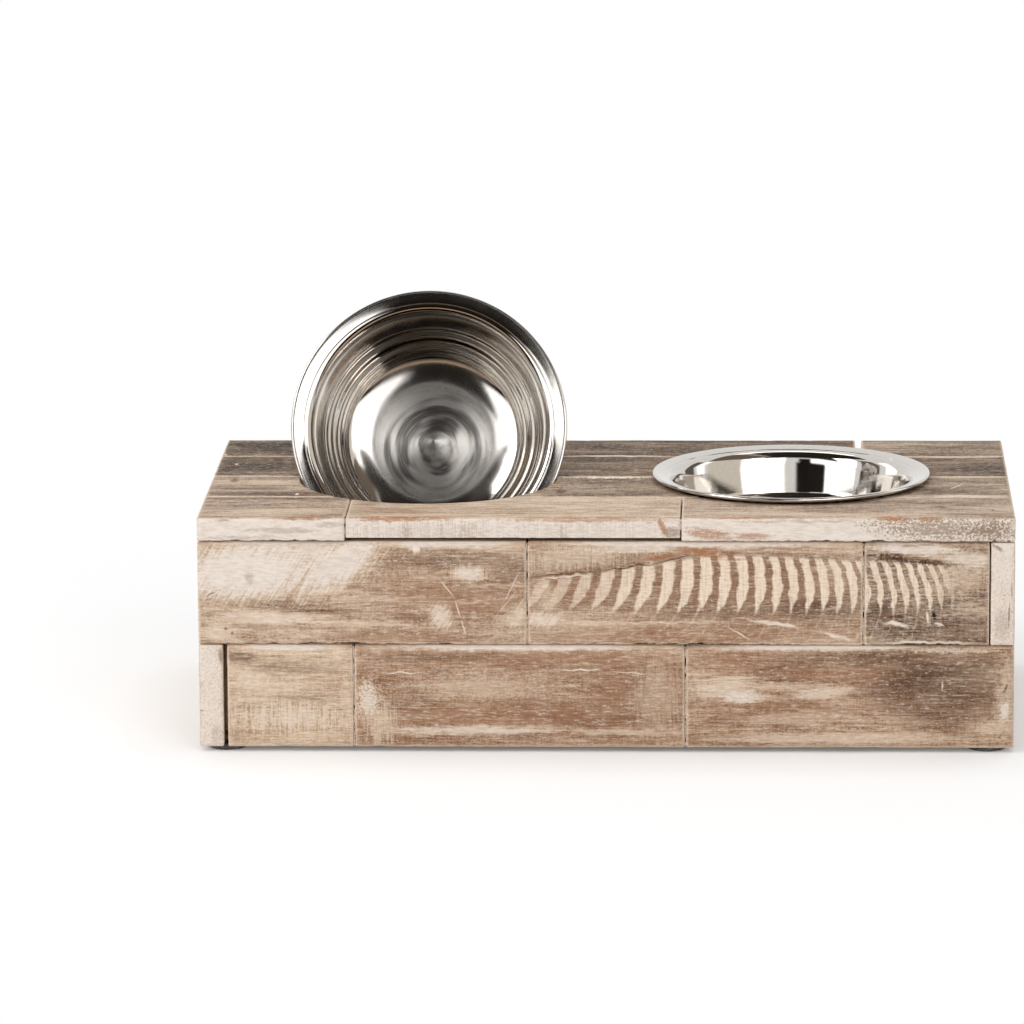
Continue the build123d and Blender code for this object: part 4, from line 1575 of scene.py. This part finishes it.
# %% Hinge steel
ZINC = screen_colours((150, 152, 154), (184, 186, 187))
zinc = Finish("zinc_plate")
point = zinc.millimetres()
scratches = zinc.noise(point, (0.12, 4.0, 4.0), detail=4, roughness=0.7)
spangle = zinc.noise(point, (0.6, 0.6, 0.6), detail=2)
zinc_colour = zinc.mix(zinc.ease(spangle, 0.35, 0.65), *ZINC)
zinc_roughness = zinc.ease(scratches, 0.3, 0.7, 0.28, 0.46)
zinc.surface(zinc_colour, zinc_roughness, scratches, (0.3, 0.05), Metallic=1.0)
hinge_nodes = [name for name in frame["nodes"] if "hinge" in name and "screws" not in name]
for name in hinge_nodes:
    paint_node(name, zinc.material)
print("hinge nodes:", sorted(hinge_nodes))

# %% Screws
screw_radius = 1.9
screw_height = 0.9
dome_height = 0.35
recess_depth = 0.75
recess_taper = 0.75
arm_half = 0.085
arm_length = 0.55
inner_share = 0.82
spin_per_metre = 900
hinge_middle = 150.0
screw_offset = 12.0
SCREW_ROWS = {"hinge_screws_in_back": ("box", 93.05), "hinge_screws_in_lid": ("lid", 106.65)}


def new_points(made):
    return [item for item in made["geom"] if isinstance(item, bmesh.types.BMVert)]


def add_screw(bm, place):
    """A countersunk head with a cross recess, facing back."""
    edge = screw_radius * MM
    made = bmesh.ops.create_grid(bm, x_segments=5, y_segments=5, size=edge)["verts"]
    faces = list(dict.fromkeys(face for vertex in made for face in vertex.link_faces))
    for vertex in made:
        if max(abs(vertex.co.x), abs(vertex.co.y)) > edge * 0.99:
            vertex.co = vertex.co.normalized() * edge
        else:
            vertex.co *= inner_share
        vertex.co.z = (1 - (vertex.co.length / edge) ** 2) * dome_height * MM
    cross = []
    for face in faces:
        near, far = sorted(abs(value) for value in face.calc_center_median().xy)
        if near < edge * arm_half and far < edge * arm_length:
            cross.append(face)
    sides = dict.fromkeys(side for face in faces for side in face.edges)
    rim = [side for side in sides if len(side.link_faces) == 1]
    sunk = new_points(bmesh.ops.extrude_face_region(bm, geom=cross))
    bmesh.ops.delete(bm, geom=cross, context="FACES_ONLY")
    bmesh.ops.translate(bm, vec=(0, 0, -recess_depth * MM), verts=sunk)
    bmesh.ops.scale(bm, vec=(recess_taper, recess_taper, 1.0), verts=sunk)
    skirt = new_points(bmesh.ops.extrude_edge_only(bm, edges=rim))
    bmesh.ops.translate(bm, vec=(0, 0, -(screw_height - dome_height) * MM), verts=skirt)
    spin = Matrix.Rotation(place.x * spin_per_metre, 4, "Z")
    turn = Matrix.Rotation(math.radians(-90), 4, "X") @ spin
    bmesh.ops.transform(bm, matrix=Matrix.Translation(place) @ turn, verts=made + sunk + skirt)


for node, (body, height) in SCREW_ROWS.items():
    back_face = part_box(node)[1].y - (dome_height + 0.01) * MM
    bm = bmesh.new()
    for middle in (-hinge_middle, hinge_middle):
        for offset in (-screw_offset, screw_offset):
            add_screw(bm, Vector(((middle + offset) * MM, back_face, height * MM)))
    bmesh.ops.recalc_face_normals(bm, faces=bm.faces)
    piece = finished_piece(node + "_crossed", bm, body, zinc.material, [node])
    print(piece.name, len(piece.data.polygons), "faces")

# %% [markdown]
# ## Rubber feet
# Four thin rubber discs keep the box off the floor. Each is a spun section with a rounded lower
# edge, like a moulded pad, and its rubber is dark grey and dusty.

# %% Feet
RUBBER = screen_colours((66, 63, 60), (128, 125, 121))
rubber = Finish("foot_rubber")
point = rubber.millimetres()
dust = rubber.noise(point, (0.35, 0.35, 0.9), detail=4, roughness=0.7)
pits = rubber.noise(point, (2.4, 2.4, 2.4), detail=2)
rubber_colour = rubber.mix(rubber.ease(dust, 0.40, 0.68), *RUBBER)
rubber.surface(rubber_colour, rubber.ease(dust, 0.3, 0.7, 0.55, 0.8), pits, (0.4, 0.2))

foot_names = sorted(name for name in frame["nodes"] if name.endswith("_foot"))
for name in foot_names:
    low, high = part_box(name)
    reach = (high.x - low.x) / 2
    height = high.z - low.z
    outer = [(reach * 0.9, 0), (reach, height * 0.25), (reach * 0.97, height)]
    section = [(0, 0), *outer, (0, height)]
    bm = bmesh.new()
    points = draw_line(bm, [(r, low.z + z) for r, z in section])
    bmesh.ops.bevel(bm, geom=points[1:3], offset=0.4 * MM, segments=3, **bevel_settings)
    spin_line(bm, 48)
    middle = Vector(((low.x + high.x) / 2, (low.y + high.y) / 2, 0))
    bmesh.ops.translate(bm, vec=middle, verts=bm.verts)
    finished_piece(name + "_pad", bm, "box", rubber.material, [name], smooth=True)
print("feet:", len(foot_names))
